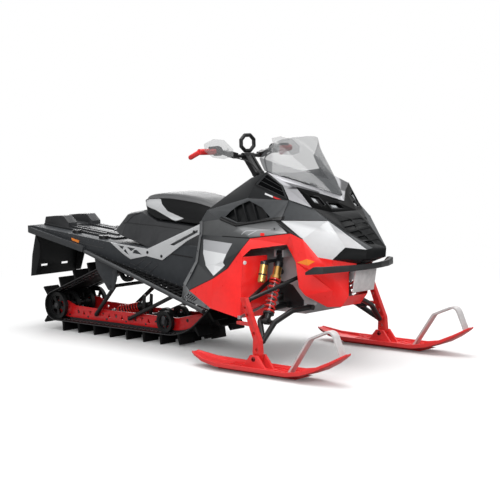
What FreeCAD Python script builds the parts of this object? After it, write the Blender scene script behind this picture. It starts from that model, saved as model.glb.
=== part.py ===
import FreeCAD, Part

import math
import os
from FreeCAD import Vector

# Snowmobile for deep snow: rubber track under an open tunnel, faceted bodywork, two skis on
# double wishbones. All lengths are millimetres. x points forward, y to the rider's left, z up.
# The floor is z = 0, y = 0 is the middle plane, x = 0 is half way between flap and ski tips.

os.makedirs("parts", exist_ok=True)

# General clearances
seat_gap = 0.3
shaft_gap = 0.05

# Track
track_width = 400.0
belt_thickness = 8.0
lug_height = 62.0
lug_root = 22.0
lug_tip = 12.0
lug_rows = 48
outer_lug_length = 118.0
centre_lug_length = 130.0
edge_strip = 6.0
track_side_gap = 35.0

# Wheels that the track runs on
idler_x = -1260.0
idler_radius = 89.0
idler_width = 26.0
idler_outer_y = 166.0
idler_inner_y = 62.0
idler_axle_radius = 12.0
road_wheel_radius = 67.0
road_wheel_x = -230.0
road_wheel_inner_x = -330.0
top_wheel_x = -620.0
top_wheel_z = 420.0
top_wheel_radius = 70.0
sprocket_x = 245.0
sprocket_z = 412.0
sprocket_radius = 85.0
sprocket_y = 75.0
sprocket_width = 36.0
drive_shaft_radius = 15.0

# Skid rails
rail_y = 128.0
rail_thickness = 12.0
rail_top_z = 162.0
slide_height = 15.0
slide_width = 26.0
rail_bend_x = -190.0
rail_bend_radius = 420.0
rail_tip_angle = 40.0

# Tunnel and boards
tunnel_half = track_width / 2 + track_side_gap
tunnel_wall = 3.0
tunnel_rear_x = -1410.0
tunnel_front_x = 412.0
board_rail_radius = 11.0
board_outer_y = 462.0
board_front_x = 410.0
rear_bar_width = 22.0

# Bodywork
panel_wall = 4.0

# Steering
steer_tilt = 38.0
steer_x = 452.0
steer_z = 985.0
post_radius = 17.0
bar_radius = 11.0
bar_half = 372.0
bar_height = 190.0
bar_flat_y = 90.0
bar_bend_y = 210.0
bar_clamp_radius = 18.0

# Front suspension and skis
stance_half = 531.5
kingpin_top_x = 793.0
kingpin_top_z = 383.0
kingpin_low_x = 889.0
kingpin_low_z = 170.0
kingpin_inset = 36.5
kingpin_y = stance_half - kingpin_inset
ball_radius = 15.0
spindle_half = 13.0
ski_bolt_x = 886.0
ski_bolt_z = 82.0
ski_bolt_radius = 8.0
ski_rear_x = 404.0
ski_tip_x = 1511.0
ski_half_width = 84.0
ski_wall = 7.0
keel_depth = 20.0


def vec(x, y, z):
    """One point of the model."""
    return Vector(x, y, z)


def box(x0, x1, y0, y1, z0, z1):
    """Block between two corners."""
    return Part.makeBox(x1 - x0, y1 - y0, z1 - z0, vec(x0, y0, z0))


def rod(start, end, radius):
    """Round bar between two points."""
    along = end.sub(start)
    return Part.makeCylinder(radius, along.Length, start, along)


def cross_rod(x, z, half, radius):
    """Round bar across the machine."""
    return Part.makeCylinder(radius, 2 * half, vec(x, -half, z), vec(0, 1, 0))


def outline_xz(points):
    """Closed flat wire in the side view."""
    corners = [vec(x, 0, z) for x, z in points]
    return Part.makePolygon(corners + corners[:1])


def side_plate(points, y0, y1):
    """Plate with a side view outline, between two planes across."""
    face = Part.Face(outline_xz(points))
    face.translate(vec(0, y0, 0))
    return face.extrude(vec(0, y1 - y0, 0))


def plan_plate(points, z0, z1):
    """Plate with a top view outline, between two heights."""
    corners = [vec(x, y, z0) for x, y in points]
    return Part.Face(Part.makePolygon(corners + corners[:1])).extrude(vec(0, 0, z1 - z0))


def mirrored(shape):
    """The same shape on the other side of the middle plane."""
    return shape.mirror(vec(0, 0, 0), vec(0, 1, 0))


def joined(shapes):
    """One solid out of pieces that overlap or touch."""
    whole = shapes[0]
    if len(shapes) > 1:
        whole = whole.multiFuse(shapes[1:])
    if len(whole.Solids) > 1:
        whole = shapes[0]
        for shape in shapes[1:]:
            whole = whole.fuse(shape)
    whole = whole.removeSplitter()
    return whole.Solids[0] if len(whole.Solids) == 1 else whole


def pair(shape):
    """A piece and its twin on the other side."""
    return [shape, mirrored(shape)]


def flat_bar(start, end, width, height):
    """Rectangular bar between two points, with its width level and its height upright."""
    along = end.sub(start)
    side = vec(0, 0, 1).cross(along).normalize()
    top = along.cross(side).normalize()
    half_side = side.multiply(width / 2)
    half_top = top.multiply(height / 2)
    corners = [
        start.add(half_side).add(half_top),
        start.sub(half_side).add(half_top),
        start.sub(half_side).sub(half_top),
        start.add(half_side).sub(half_top),
    ]
    return Part.Face(Part.makePolygon(corners + corners[:1])).extrude(along)


def bent_path(points, bend):
    """Straight runs joined by tangent arcs; bend is one radius, or a list with one for each corner."""
    edges = []
    last = points[0]
    bends = bend if isinstance(bend, list) else [bend] * (len(points) - 2)
    for before, corner, after, bend in zip(points, points[1:], points[2:], bends):
        back = before.sub(corner).normalize()
        ahead = after.sub(corner).normalize()
        turn = math.pi - back.getAngle(ahead)
        reach = bend * math.tan(turn / 2)
        enter = corner.add(vec(*back).multiply(reach))
        leave = corner.add(vec(*ahead).multiply(reach))
        inward = vec(*back).add(ahead).normalize()
        middle = corner.add(inward.multiply(bend / math.cos(turn / 2) - bend))
        edges.append(Part.LineSegment(last, enter).toShape())
        edges.append(Part.Arc(enter, middle, leave).toShape())
        last = leave
    edges.append(Part.LineSegment(last, points[-1]).toShape())
    return Part.Wire(edges)


def bent_tube(points, radius, bend):
    """Round bar along straight runs and tangent arcs."""
    path = bent_path(points, bend)
    along = points[1].sub(points[0])
    ring = Part.Wire(Part.makeCircle(radius, points[0], along))
    return path.makePipeShell([ring], True, True)


def save(name, solids):
    """Write the solids of one named piece."""
    shape = solids[0] if len(solids) == 1 else Part.makeCompound(solids)
    for solid in solids:
        if not solid.isValid() or solid.Volume <= 0 or len(solid.Solids) != 1:
            print("check", name, solid.ShapeType, solid.isValid(), solid.Volume, len(solid.Solids))
    shape.exportStep("parts/" + name + ".step")


def coil_sleeve(start, along, length, outer, wire, turns):
    """Coil spring drawn as a row of rings round a sleeve."""
    pitch = length / turns
    profile = [(outer - 1.4 * wire, 0)]
    for k in range(turns):
        z = k * pitch
        for radius, share in ((outer - wire, 0.05), (outer, 0.25), (outer, 0.5), (outer - wire, 0.7)):
            profile.append((radius, z + share * pitch))
    profile += [(outer - wire, length), (outer - 1.4 * wire, length)]
    corners = [vec(r, 0, z) for r, z in profile]
    sleeve = Part.Face(Part.makePolygon(corners + corners[:1])).revolve(vec(0, 0, 0), vec(0, 0, 1), 360)
    sleeve.Placement = FreeCAD.Placement(start, FreeCAD.Rotation(vec(0, 0, 1), along))
    return sleeve


# Track loop: the belt passes round four circles, each on the inner side of the loop.

belt_low = lug_height
belt_top = belt_low + belt_thickness
idler_z = belt_top + idler_radius
bend_z = belt_top + rail_bend_radius


def loop_circles():
    """Centre and radius of each circle that the inner face of the belt touches, in order."""
    return [
        (idler_x, idler_z, idler_radius),
        (rail_bend_x, bend_z, rail_bend_radius),
        (sprocket_x, sprocket_z, sprocket_radius),
        (top_wheel_x, top_wheel_z, top_wheel_radius),
    ]


def loop_headings():
    """Direction of the straight run that leaves each circle, from the common tangent."""
    circles = loop_circles()
    headings = []
    for (x0, z0, r0), (x1, z1, r1) in zip(circles, circles[1:] + circles[:1]):
        span = math.hypot(x1 - x0, z1 - z0)
        headings.append(math.atan2(z1 - z0, x1 - x0) + math.asin((r0 - r1) / span))
    return headings


def loop_runs(offset):
    """Arcs and straight runs of the loop at a distance outside the belt's inner face."""
    circles = loop_circles()
    headings = loop_headings()
    runs = []
    for i, (x, z, r) in enumerate(circles):
        start = headings[i - 1] - math.pi / 2
        end = headings[i] - math.pi / 2
        while end < start:
            end += 2 * math.pi
        radius = r + offset
        x1, z1, r1 = circles[(i + 1) % len(circles)]
        leave = (x + radius * math.cos(end), z + radius * math.sin(end))
        arrive = (x1 + (r1 + offset) * math.cos(end), z1 + (r1 + offset) * math.sin(end))
        runs.append((x, z, radius, start, end, leave, arrive))
    return runs


def loop_wire(offset):
    """Closed wire of the loop."""
    edges = []
    for x, z, radius, start, end, leave, arrive in loop_runs(offset):
        middle = (start + end) / 2
        points = [vec(x + radius * math.cos(a), 0, z + radius * math.sin(a)) for a in (start, middle, end)]
        edges.append(Part.Arc(*points).toShape())
        edges.append(Part.LineSegment(vec(leave[0], 0, leave[1]), vec(arrive[0], 0, arrive[1])).toShape())
    return Part.Wire(edges)


def loop_length(offset):
    """Length of the loop."""
    total = 0
    for x, z, radius, start, end, leave, arrive in loop_runs(offset):
        total += radius * (end - start) + math.dist(leave, arrive)
    return total


def loop_place(distance, offset):
    """Point and heading at a distance along the loop."""
    for x, z, radius, start, end, leave, arrive in loop_runs(offset):
        arc = radius * (end - start)
        if distance <= arc:
            angle = start + distance / radius
            return x + radius * math.cos(angle), z + radius * math.sin(angle), angle + math.pi / 2
        distance -= arc
        run = math.dist(leave, arrive)
        if distance <= run:
            share = distance / run
            return (
                leave[0] + share * (arrive[0] - leave[0]),
                leave[1] + share * (arrive[1] - leave[1]),
                end + math.pi / 2,
            )
        distance -= run
    return leave[0], leave[1], end + math.pi / 2


def lug_outline(distance):
    """Four corners of one lug, in the side view."""
    sink = belt_thickness / 2
    x, z, heading = loop_place(distance, belt_thickness)
    ahead = (math.cos(heading), math.sin(heading))
    out = (math.sin(heading), -math.cos(heading))
    corners = []
    for half, reach in ((-lug_root, -sink), (-lug_tip, lug_height), (lug_tip, lug_height), (lug_root, -sink)):
        corners.append((x + ahead[0] * half / 2 + out[0] * reach, z + ahead[1] * half / 2 + out[1] * reach))
    return corners


def track():
    """Belt with its lugs: pairs at the edges, and single ones in the middle between them."""
    half = track_width / 2
    face = Part.Face(loop_wire(belt_thickness)).cut(Part.Face(loop_wire(0))).Faces[0]
    face.translate(vec(0, -half, 0))
    belt = face.extrude(vec(0, track_width, 0))
    lugs = []
    pitch = loop_length(belt_thickness) / lug_rows
    for row in range(lug_rows):
        outline = lug_outline((row + 0.5) * pitch)
        if row % 2:
            lugs.append(side_plate(outline, -centre_lug_length / 2, centre_lug_length / 2))
        else:
            edge = half - edge_strip
            lugs.append(side_plate(outline, edge - outer_lug_length, edge))
            lugs.append(side_plate(outline, -edge, outer_lug_length - edge))
    return joined([belt] + lugs)


def spoked_wheel(x, y, z, radius, width, bore):
    """Running wheel: rubber tread on a plastic wheel with five windows."""
    tread = 12.0
    rim = 9.0
    hub = bore + 14.0
    web = 6.0
    windows = 5
    half = width / 2
    profile = [
        (bore, -half),
        (hub, -half),
        (hub, -web / 2),
        (radius - tread - rim, -web / 2),
        (radius - tread - rim, -half + 3),
        (radius - tread, -half + 3),
        (radius - tread, -half),
        (radius, -half),
        (radius, half),
        (radius - tread, half),
        (radius - tread, half - 3),
        (radius - tread - rim, half - 3),
        (radius - tread - rim, web / 2),
        (hub, web / 2),
        (hub, half),
        (bore, half),
    ]
    corners = [vec(r, w, 0) for r, w in profile]
    wheel = Part.Face(Part.makePolygon(corners + corners[:1])).revolve(vec(0, 0, 0), vec(0, 1, 0), 360)
    inner = hub + 4
    outer = radius - tread - rim - 4
    for k in range(windows):
        spread = math.pi / windows * 0.6
        centre = 2 * math.pi * k / windows + math.pi / 2
        window = []
        for r, a in ((inner, -spread), (outer, -spread), (outer, spread), (inner, spread)):
            window.append((r * math.cos(centre + a), r * math.sin(centre + a)))
        wheel = wheel.cut(side_plate(window, -width, width))
    wheel.translate(vec(x, y, z))
    return wheel


def idler_wheels():
    """Four wheels on the rear axle."""
    bore = idler_axle_radius + shaft_gap
    radius = idler_radius - seat_gap
    wheels = []
    for y in (idler_outer_y, idler_inner_y):
        wheels += pair(spoked_wheel(idler_x, y, idler_z, radius, idler_width, bore))
    return wheels


def idler_axle():
    """Rear axle with the adjuster blocks that hold it in the rails."""
    half = idler_outer_y + idler_width / 2 + 8
    return [cross_rod(idler_x, idler_z, half, idler_axle_radius)]


def road_wheels():
    """Wheels beside the rails near the front of the skid."""
    z = belt_top + road_wheel_radius
    bore = idler_axle_radius + shaft_gap
    wheels = pair(spoked_wheel(road_wheel_x, idler_outer_y, z, road_wheel_radius - seat_gap, idler_width, bore))
    rim = road_wheel_radius - seat_gap
    wheels += pair(spoked_wheel(road_wheel_inner_x, idler_inner_y, z, rim, idler_width, bore))
    return wheels


def road_axles():
    """Axles of the wheels beside the rails."""
    z = belt_top + road_wheel_radius
    long_half = idler_outer_y + idler_width / 2 + 6
    return [
        cross_rod(road_wheel_x, z, long_half, idler_axle_radius),
        cross_rod(road_wheel_inner_x, z, rail_y - rail_thickness / 2 - seat_gap, idler_axle_radius),
    ]


def top_wheels():
    """Wheels that carry the upper run, with the axle in the tunnel sides."""
    bore = idler_axle_radius + shaft_gap
    radius = top_wheel_radius - seat_gap
    return pair(spoked_wheel(top_wheel_x, sprocket_y + 40, top_wheel_z, radius, idler_width, bore))


def top_axle():
    """Axle of the upper wheels."""
    return [cross_rod(top_wheel_x, top_wheel_z, arm_bracket_y, idler_axle_radius)]


def drive_shaft():
    """Shaft with two toothed wheels that drive the track."""
    shaft = cross_rod(sprocket_x, sprocket_z, tunnel_half - tunnel_wall - seat_gap, drive_shaft_radius)
    pieces = [shaft]
    for y in (-sprocket_y, sprocket_y):
        start = vec(sprocket_x, y - sprocket_width / 2, sprocket_z)
        pieces.append(Part.makeCylinder(sprocket_radius - seat_gap, sprocket_width, start, vec(0, 1, 0)))
    return [joined(pieces)]


def rail_outline():
    """Side view of one skid rail: flat sole, curved tip, raised end at the rear axle."""
    sole = belt_top + slide_height
    radius = rail_bend_radius - slide_height
    tip = math.radians(rail_tip_angle)
    start = vec(rail_bend_x, 0, sole)
    middle = vec(rail_bend_x + radius * math.sin(tip / 2), 0, bend_z - radius * math.cos(tip / 2))
    end = vec(rail_bend_x + radius * math.sin(tip), 0, bend_z - radius * math.cos(tip))
    tip_height = 34.0
    end_top = vec(
        rail_bend_x + (radius - tip_height) * math.sin(tip),
        0,
        bend_z - (radius - tip_height) * math.cos(tip),
    )
    corners = [
        end_top,
        vec(rail_bend_x + 40, 0, rail_top_z),
        vec(-820, 0, rail_top_z - 4),
        vec(idler_x + 130, 0, rail_top_z + 2),
        vec(idler_x + 60, 0, idler_z + 30),
        vec(idler_x - 40, 0, idler_z + 26),
        vec(idler_x - 44, 0, idler_z - 22),
        vec(idler_x + 20, 0, sole),
        start,
    ]
    edges = [Part.Arc(start, middle, end).toShape(), Part.LineSegment(end, end_top).toShape()]
    for a, b in zip(corners, corners[1:]):
        edges.append(Part.LineSegment(a, b).toShape())
    return Part.Wire(edges)


def rails():
    """Two red skid rails with weight-saving holes."""
    face = Part.Face(rail_outline())
    face.translate(vec(0, rail_y - rail_thickness / 2, 0))
    rail = face.extrude(vec(0, rail_thickness, 0))
    middle = (belt_top + slide_height + rail_top_z) / 2
    holes = []
    spacing = 62.0
    half = 14.0
    for k in range(14):
        x = idler_x + 160 + k * spacing
        if abs(x - road_wheel_x) < 40 or abs(x - road_wheel_inner_x) < 40:
            continue
        point = half if k % 2 else -half
        outline = [(x - half, middle - point), (x + half, middle - point), (x, middle + point)]
        holes.append(side_plate(outline, rail_y - rail_thickness, rail_y + rail_thickness))
    bore = idler_axle_radius + shaft_gap
    for x, z in ((idler_x, idler_z), (road_wheel_x, belt_top + road_wheel_radius)):
        holes.append(cross_rod(x, z, 2 * rail_y, bore))
    for x, z in rail_cross_bars():
        holes.append(cross_rod(x, z, 2 * rail_y, cross_bar_radius + shaft_gap))
    rail = rail.cut(Part.makeCompound(holes))
    return pair(rail)


def slide_shoes():
    """Low-friction strips under the rails."""
    sole = belt_top + slide_height
    y0 = rail_y - slide_width / 2
    low = belt_top + seat_gap
    flat = box(idler_x + 90, rail_bend_x, y0, y0 + slide_width, low, sole)
    outer = rail_bend_radius - seat_gap
    inner = rail_bend_radius - slide_height
    tip = math.radians(rail_tip_angle)

    def at(radius, angle):
        return vec(rail_bend_x + radius * math.sin(angle), y0, bend_z - radius * math.cos(angle))

    edges = [
        Part.Arc(at(outer, 0), at(outer, tip / 2), at(outer, tip)).toShape(),
        Part.LineSegment(at(outer, tip), at(inner, tip)).toShape(),
        Part.Arc(at(inner, tip), at(inner, tip / 2), at(inner, 0)).toShape(),
        Part.LineSegment(at(inner, 0), at(outer, 0)).toShape(),
    ]
    curve = Part.Face(Part.Wire(edges)).extrude(vec(0, slide_width, 0))
    return pair(joined([flat, curve]))


# Rear suspension: arms, their cross bars in the rails, and shocks.

cross_bar_radius = 11.0
rear_bar_x = -900.0
front_bar_x = -580.0
arm_bracket_y = tunnel_half - tunnel_wall - seat_gap
arm_top_y = 196.0
arm_low_y = 142.0
rear_arm_top = (-650.0, 330.0)
crank_pin = (front_bar_x + 8, 195.0)
front_arm_top = (-60.0, 330.0)


def rail_cross_bars():
    """Places where a bar joins the two rails."""
    middle = (belt_top + slide_height + rail_top_z) / 2
    return [(rear_bar_x, middle), (front_bar_x, middle), (rail_bend_x + 120, middle + 30)]


def rear_arm():
    """Rear suspension arm, from a cross bar in the tunnel down to the rails."""
    x, z = rail_cross_bars()[0]
    top_x, top_z = rear_arm_top
    bar = cross_rod(x, z, arm_low_y + 12, cross_bar_radius)
    pieces = [bar, cross_rod(top_x, top_z, arm_bracket_y, cross_bar_radius)]
    for side in (-1, 1):
        pieces.append(rod(vec(top_x, side * arm_top_y, top_z), vec(x, side * (arm_low_y + 6), z), 13.0))
    return [joined(pieces)]


def front_arm():
    """Front suspension arm: two long grey tubes with a cross bar at each end."""
    x, z = rail_cross_bars()[1]
    top_x, top_z = front_arm_top
    pieces = [cross_rod(x, z, arm_low_y + 12, cross_bar_radius)]
    pieces.append(cross_rod(top_x, top_z, arm_bracket_y, cross_bar_radius))
    for side in (-1, 1):
        pieces.append(rod(vec(x, side * (arm_low_y + 6), z), vec(top_x, side * arm_top_y, top_z), 12.0))
        crank = [(x - 14, z - 14), (x + 14, z - 14), (x + 26, z + 136), (x + 4, z + 140)]
        inner, outer = sorted((side * 26, side * 34))
        pieces.append(side_plate(crank, inner, outer))
    pin_x, pin_z = crank_pin
    pieces.append(cross_rod(pin_x, pin_z, 34, cross_bar_radius))
    x, z = rail_cross_bars()[2]
    return [joined(pieces), cross_rod(x, z, rail_y + rail_thickness / 2, cross_bar_radius)]


def skid_shock(low, high):
    """Shock of the skid between two cross bars: rod, body and coil spring drawn as one sleeve."""
    low = vec(low[0], 0, low[1])
    high = vec(high[0], 0, high[1])
    along = high.sub(low).normalize()
    length = high.sub(low).Length
    pieces = [Part.makeCylinder(12, length, low, along)]
    pieces.append(Part.makeCylinder(20, length - 90, low.add(vec(*along).multiply(45)), along))
    turns = round((length - 100) / 22)
    pieces.append(coil_sleeve(low.add(vec(*along).multiply(50)), along, length - 100, 30, 8, turns))
    for end in (low, high):
        pieces.append(Part.makeCylinder(20, 30, end.sub(vec(0, 15, 0)), vec(0, 1, 0)))
    solid = joined(pieces)
    for end in (low, high):
        solid = solid.cut(cross_rod(end.x, end.z, 40, cross_bar_radius + shaft_gap))
    return solid


def skid_shocks():
    """Shocks in the middle of the skid, one for each arm."""
    bars = rail_cross_bars()
    return [skid_shock(bars[0], crank_pin), skid_shock(bars[2], front_arm_top)]


# Tunnel, boards, rail along the tail, flap.

def tunnel_top_z(x):
    """Height of the tunnel's top sheet."""
    knots = [(tunnel_rear_x, 680), (-640, 607), (-250, 588), (60, 618), (tunnel_front_x, 618)]
    return on_line(knots, x)


def tunnel_low_z(x):
    """Height of the lower edge of the tunnel's sides, which falls towards the front."""
    return 483 - 0.197 * (x + 641)


def tunnel():
    """Folded sheet channel over the track."""
    xs = [tunnel_rear_x, -640, -250, 60, tunnel_front_x]
    top = [(x, tunnel_top_z(x)) for x in xs]
    low = [(x, tunnel_low_z(x)) for x in (tunnel_front_x, tunnel_rear_x)]
    outside = side_plate(top + low, -tunnel_half, tunnel_half)
    under = [(x, z - tunnel_wall) for x, z in top]
    under[0] = (under[0][0] - 10, under[0][1])
    under[-1] = (under[-1][0] + 10, under[-1][1])
    deep = [(tunnel_front_x + 10, 100), (tunnel_rear_x - 10, 100)]
    inside = side_plate(under + deep, tunnel_wall - tunnel_half, tunnel_half - tunnel_wall)
    y0 = tunnel_half - tunnel_wall - 5
    x, z = rear_arm_top
    rear = [
        (x - 150, tunnel_low_z(x - 150) + 8),
        (x + 70, tunnel_low_z(x + 70) + 8),
        (x + 60, z + 50),
        (x + 26, z - 24),
        (x - 24, z - 24),
        (x - 130, z + 100),
    ]
    x, z = front_arm_top
    front = [
        (x - 90, tunnel_low_z(x - 90) + 8),
        (x + 90, tunnel_low_z(x + 90) + 8),
        (x + 40, z - 24),
        (x - 36, z - 24),
    ]
    brackets = []
    for outline in (rear, front):
        brackets += pair(side_plate(outline, y0, y0 + 5))
    sheet = joined([outside.cut(inside)] + brackets)
    bores = []
    for (x, z), radius in (
        (rear_arm_top, cross_bar_radius),
        (front_arm_top, cross_bar_radius),
        ((top_wheel_x, top_wheel_z), idler_axle_radius),
    ):
        bores.append(cross_rod(x, z, tunnel_half - tunnel_wall, radius + shaft_gap))
    return [sheet.cut(Part.makeCompound(bores))]


def board_rail_ends():
    """The two ends of the outer rail of the left running board."""
    rear_x = -870.0
    rear = vec(rear_x, tunnel_half + board_rail_radius, tunnel_low_z(rear_x) + board_rail_radius)
    front = vec(board_front_x, board_outer_y, tunnel_low_z(board_front_x) + 10)
    return rear, front


def board_rail_at(x):
    """Point on the outer rail at a station."""
    rear, front = board_rail_ends()
    share = (x - rear.x) / (front.x - rear.x)
    return rear.add(front.sub(rear).multiply(share))


def running_boards():
    """Open lattice boards: an inner strip on the tunnel, cross bars and the outer rail."""
    rear, front = board_rail_ends()
    bars = [rod(rear, front, board_rail_radius)]
    strip_width = 16.0
    inner = tunnel_half + seat_gap + strip_width / 2
    inner_rear = vec(-800, inner, tunnel_low_z(-800) + 10)
    inner_front = vec(tunnel_front_x, inner, tunnel_low_z(tunnel_front_x) + 10)
    bars.append(flat_bar(inner_rear, inner_front, strip_width, 12.0))
    count = 19
    for k in range(count):
        x = -560 + k * 49
        outer = board_rail_at(x)
        bars.append(flat_bar(vec(x, inner, tunnel_low_z(x) + 10), outer, 9.0, 14.0))
    for share in (0.36, 0.7):
        a = board_rail_at(-560)
        b = board_rail_at(-560 + (count - 1) * 49)
        start = vec(a.x, inner + (a.y - inner) * share, a.z + (tunnel_low_z(a.x) + 10 - a.z) * (1 - share))
        end = vec(b.x, inner + (b.y - inner) * share, b.z + (tunnel_low_z(b.x) + 10 - b.z) * (1 - share))
        bars.append(flat_bar(start, end, 7.0, 14.0))
    return pair(joined(bars))


def rear_bumper():
    """Bar round the tail, along the lower edges of the tunnel."""
    width = rear_bar_width
    height = 38.0
    y = tunnel_half + seat_gap + width / 2
    x0 = tunnel_rear_x - width / 2 - seat_gap
    z0 = tunnel_low_z(tunnel_rear_x) + height / 2
    x1 = -880.0
    z1 = tunnel_low_z(x1) + height / 2 + 4
    bars = [flat_bar(vec(x0, -y - width / 2, z0 + 6), vec(x0, y + width / 2, z0 + 6), width, height + 8)]
    for side in (-1, 1):
        bars.append(flat_bar(vec(x0, side * y, z0), vec(x1, side * y, z1), width, height))
    return [joined(bars)]


def snow_flap():
    """Rubber flap behind the track, with side wings and two slots."""
    thick = 6.0
    half = 190.0
    x = tunnel_rear_x - rear_bar_width - 2 * seat_gap
    outline = [
        (x, 668),
        (x, 628),
        (x - 47, 479),
        (x - 69, 339),
        (x - 69 - thick, 339),
        (x - 47 - thick, 479),
        (x - thick, 628),
        (x - thick, 668),
    ]
    sheet = side_plate(outline, -half, half)
    for side in (-1, 1):
        sheet = sheet.cut(box(x - 90, x + 20, side * 86 - 27, side * 86 + 27, 398, 411))
    wing = [(x - 4, 622), (x + 34, 560), (x + 30, 470), (x - 20, 352), (x - 70, 345), (x - 49, 479)]
    pieces = [sheet]
    for side in (-1, 1):
        pieces.append(side_plate(wing, side * half - thick / 2, side * half + thick / 2))
    return [joined(pieces)]


tail_x = tunnel_rear_x + 1


def tail_housing():
    """Raised plastic housing on the tunnel's tail."""
    front = -700.0
    low = [(x, tunnel_top_z(x) + seat_gap) for x in (front, tail_x)]

    def layer(height, rear, ahead, y0, y1):
        """Strip that stands on the tunnel between two stations."""
        top = [(rear, tunnel_top_z(rear) + height), (ahead, tunnel_top_z(ahead) + height)]
        foot = [(x, tunnel_top_z(x) + seat_gap) for x in (ahead, rear)]
        return side_plate(top + foot, y0, y1)

    pieces = [side_plate([(tail_x, low[1][1] + 11), (front, low[0][1] + 11)] + low, -140, 140)]
    hump = [(tail_x, 700), (tail_x + 12, 733), (-1300, 742), (-1215, 744), (-1160, 700), (-1160, 660)]
    hump.append((tail_x, 682))
    for side in (-1, 1):
        inner, outer = sorted((side * 62, side * 134))
        pieces.append(side_plate(hump, inner, outer))
        pieces.append(layer(22, -1200, -760, side * 66, side * 66 + 22))
        pieces.append(layer(22, -1200, -820, side * 110, side * 110 + 16))
    pieces.append(layer(26, tail_x, -1180, -62, 62))
    pieces.append(layer(18, -1180, -760, -24, 24))
    return [joined(pieces)]


def tail_lamp():
    """Red lamp at the rear of the housing."""
    rear = tail_x - seat_gap
    return [box(rear - 7, rear, -58, 58, 686, 704)]


def between(a, b, share):
    """Point on the way from one point to another."""
    return a.add(b.sub(a).multiply(share))


def reflectors():
    """Amber reflectors: plates on the tunnel's tail, and lenses bent over the fold of the belly pan."""
    thick = 3.0
    y = tunnel_half + seat_gap
    plate = side_plate([(-1010, 618), (-935, 603), (-940, 589), (-1005, 602)], y, y + thick)
    top = between(cheek_low, chin_mid, 0.66)
    low = between(cheek_low, chin_mid, 0.87)
    rear = between(chin_rear, low, 0.08)
    front = between(low, between(cheek_heel, chin_mid, 0.33), 0.95)
    facets = [[rear, top, low], [top, front, low]]
    raised = [[inner_point(p, -thick - seat_gap) for p in facet] for facet in facets]
    return pair(plate) + pair(patch(raised, thick))


def cargo_anchors():
    """Four sockets on the tunnel that luggage clips into."""
    anchors = []
    for x in (-1030, -770):
        z = tunnel_top_z(x) - 3
        ring = Part.makeCylinder(30, 22, vec(x, 172, z), vec(0, 0, 1))
        ring = ring.cut(Part.makeCylinder(12, 30, vec(x, 172, z + 8), vec(0, 0, 1)))
        rest = [(x + d, tunnel_top_z(x + d) + seat_gap) for d in (-60, 60)]
        under = side_plate(rest + [(x + 60, 500), (x - 60, 500)], 100, 240)
        anchors += pair(ring.cut(under))
    return anchors


# Seat, storage box and the silver side plates.

def side_plates():
    """Silver braces from the tunnel up to the steering, with lattice and slot."""
    outline = [
        (-625, 606),
        (-288, 583),
        (133, 736),
        (172, 750),
        (176, 696),
        (60, 648),
        (-95, 560),
        (-160, 522),
        (-300, 540),
        (-445, 512),
        (-520, 545),
    ]
    y0 = tunnel_half + seat_gap
    plate = side_plate(outline, y0, y0 + 6)
    for hole in (
        [(-560, 592), (-500, 588), (-520, 566)],
        [(-480, 586), (-400, 580), (-440, 560)],
        [(-508, 558), (-450, 530), (-490, 574)],
        [(-425, 550), (-340, 545), (-385, 572), (-410, 570)],
        [(-60, 612), (150, 700), (150, 716), (-90, 618)],
    ):
        plate = plate.cut(side_plate(hole, y0 - 5, y0 + 12))
    return pair(plate)


def section_loft(stations):
    """Solid through upright cross sections; a station is x and half outline as (y, z) from top to foot."""
    wires = []
    for x, half in stations:
        right = [vec(x, y, z) for y, z in half]
        left = [vec(x, -y, z) for y, z in reversed(half)]
        loop = right + left
        wires.append(Part.makePolygon(loop + loop[:1]))
    return Part.makeLoft(wires, True, True)


box_top = [(-690, 672), (-560, 785), (-430, 806), (-290, 752), (130, 725), (252, 738)]


def on_line(knots, x):
    """Height of a line of straight runs at a station."""
    for (xa, za), (xb, zb) in zip(knots, knots[1:]):
        if x <= xb:
            return za + (zb - za) * (x - xa) / (xb - xa)
    return knots[-1][1]


def storage_box():
    """Dark body under the seat: the box that tapers to the tail, and the tank in front."""
    stations = []
    half = tunnel_half - 10
    widths = [(-690, half - 70), (-560, half - 20), (-430, half - 10)]
    widths += [(x, half) for x in (-290, -250, 60, 130, 252)]
    for x, side in widths:
        top = on_line(box_top, x)
        rest = tunnel_top_z(x) + seat_gap
        foot = max(rest, 655 - 0.2205 * (x + 585)) if x < -290 else rest
        stations.append((x, [(120, top), (150, top - 10), (side, foot)]))
    rest = tunnel_top_z(tunnel_front_x) + seat_gap
    stations.append((258, [(100, 762), (150, 750), (half, rest)]))
    stations.append((300, [(60, 883), (170, 870), (half, rest)]))
    stations.append((390, [(60, 946), (176, 932), (half, rest)]))
    return [section_loft(stations)]


def seat():
    """Padded seat, narrow at the front and cut away under the tail."""
    stations = []
    for x, crown_y, crown, edge_y, edge, foot_y in (
        (-425, 90, 872, 118, 852, 105),
        (-375, 120, 894, 155, 868, 140),
        (-290, 120, 906, 156, 878, 150),
        (-180, 118, 908, 155, 880, 150),
        (60, 100, 880, 138, 855, 150),
        (130, 92, 862, 126, 838, 146),
        (200, 80, 838, 110, 815, 140),
        (250, 70, 812, 95, 795, 130),
    ):
        stations.append((x, [(crown_y, crown), (edge_y, edge), (foot_y, on_line(box_top, x) + seat_gap)]))
    return [section_loft(stations)]


# Bodywork: facets between fold points. y is the half width.

core_x = 640.0
core_z = 520.0

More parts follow.
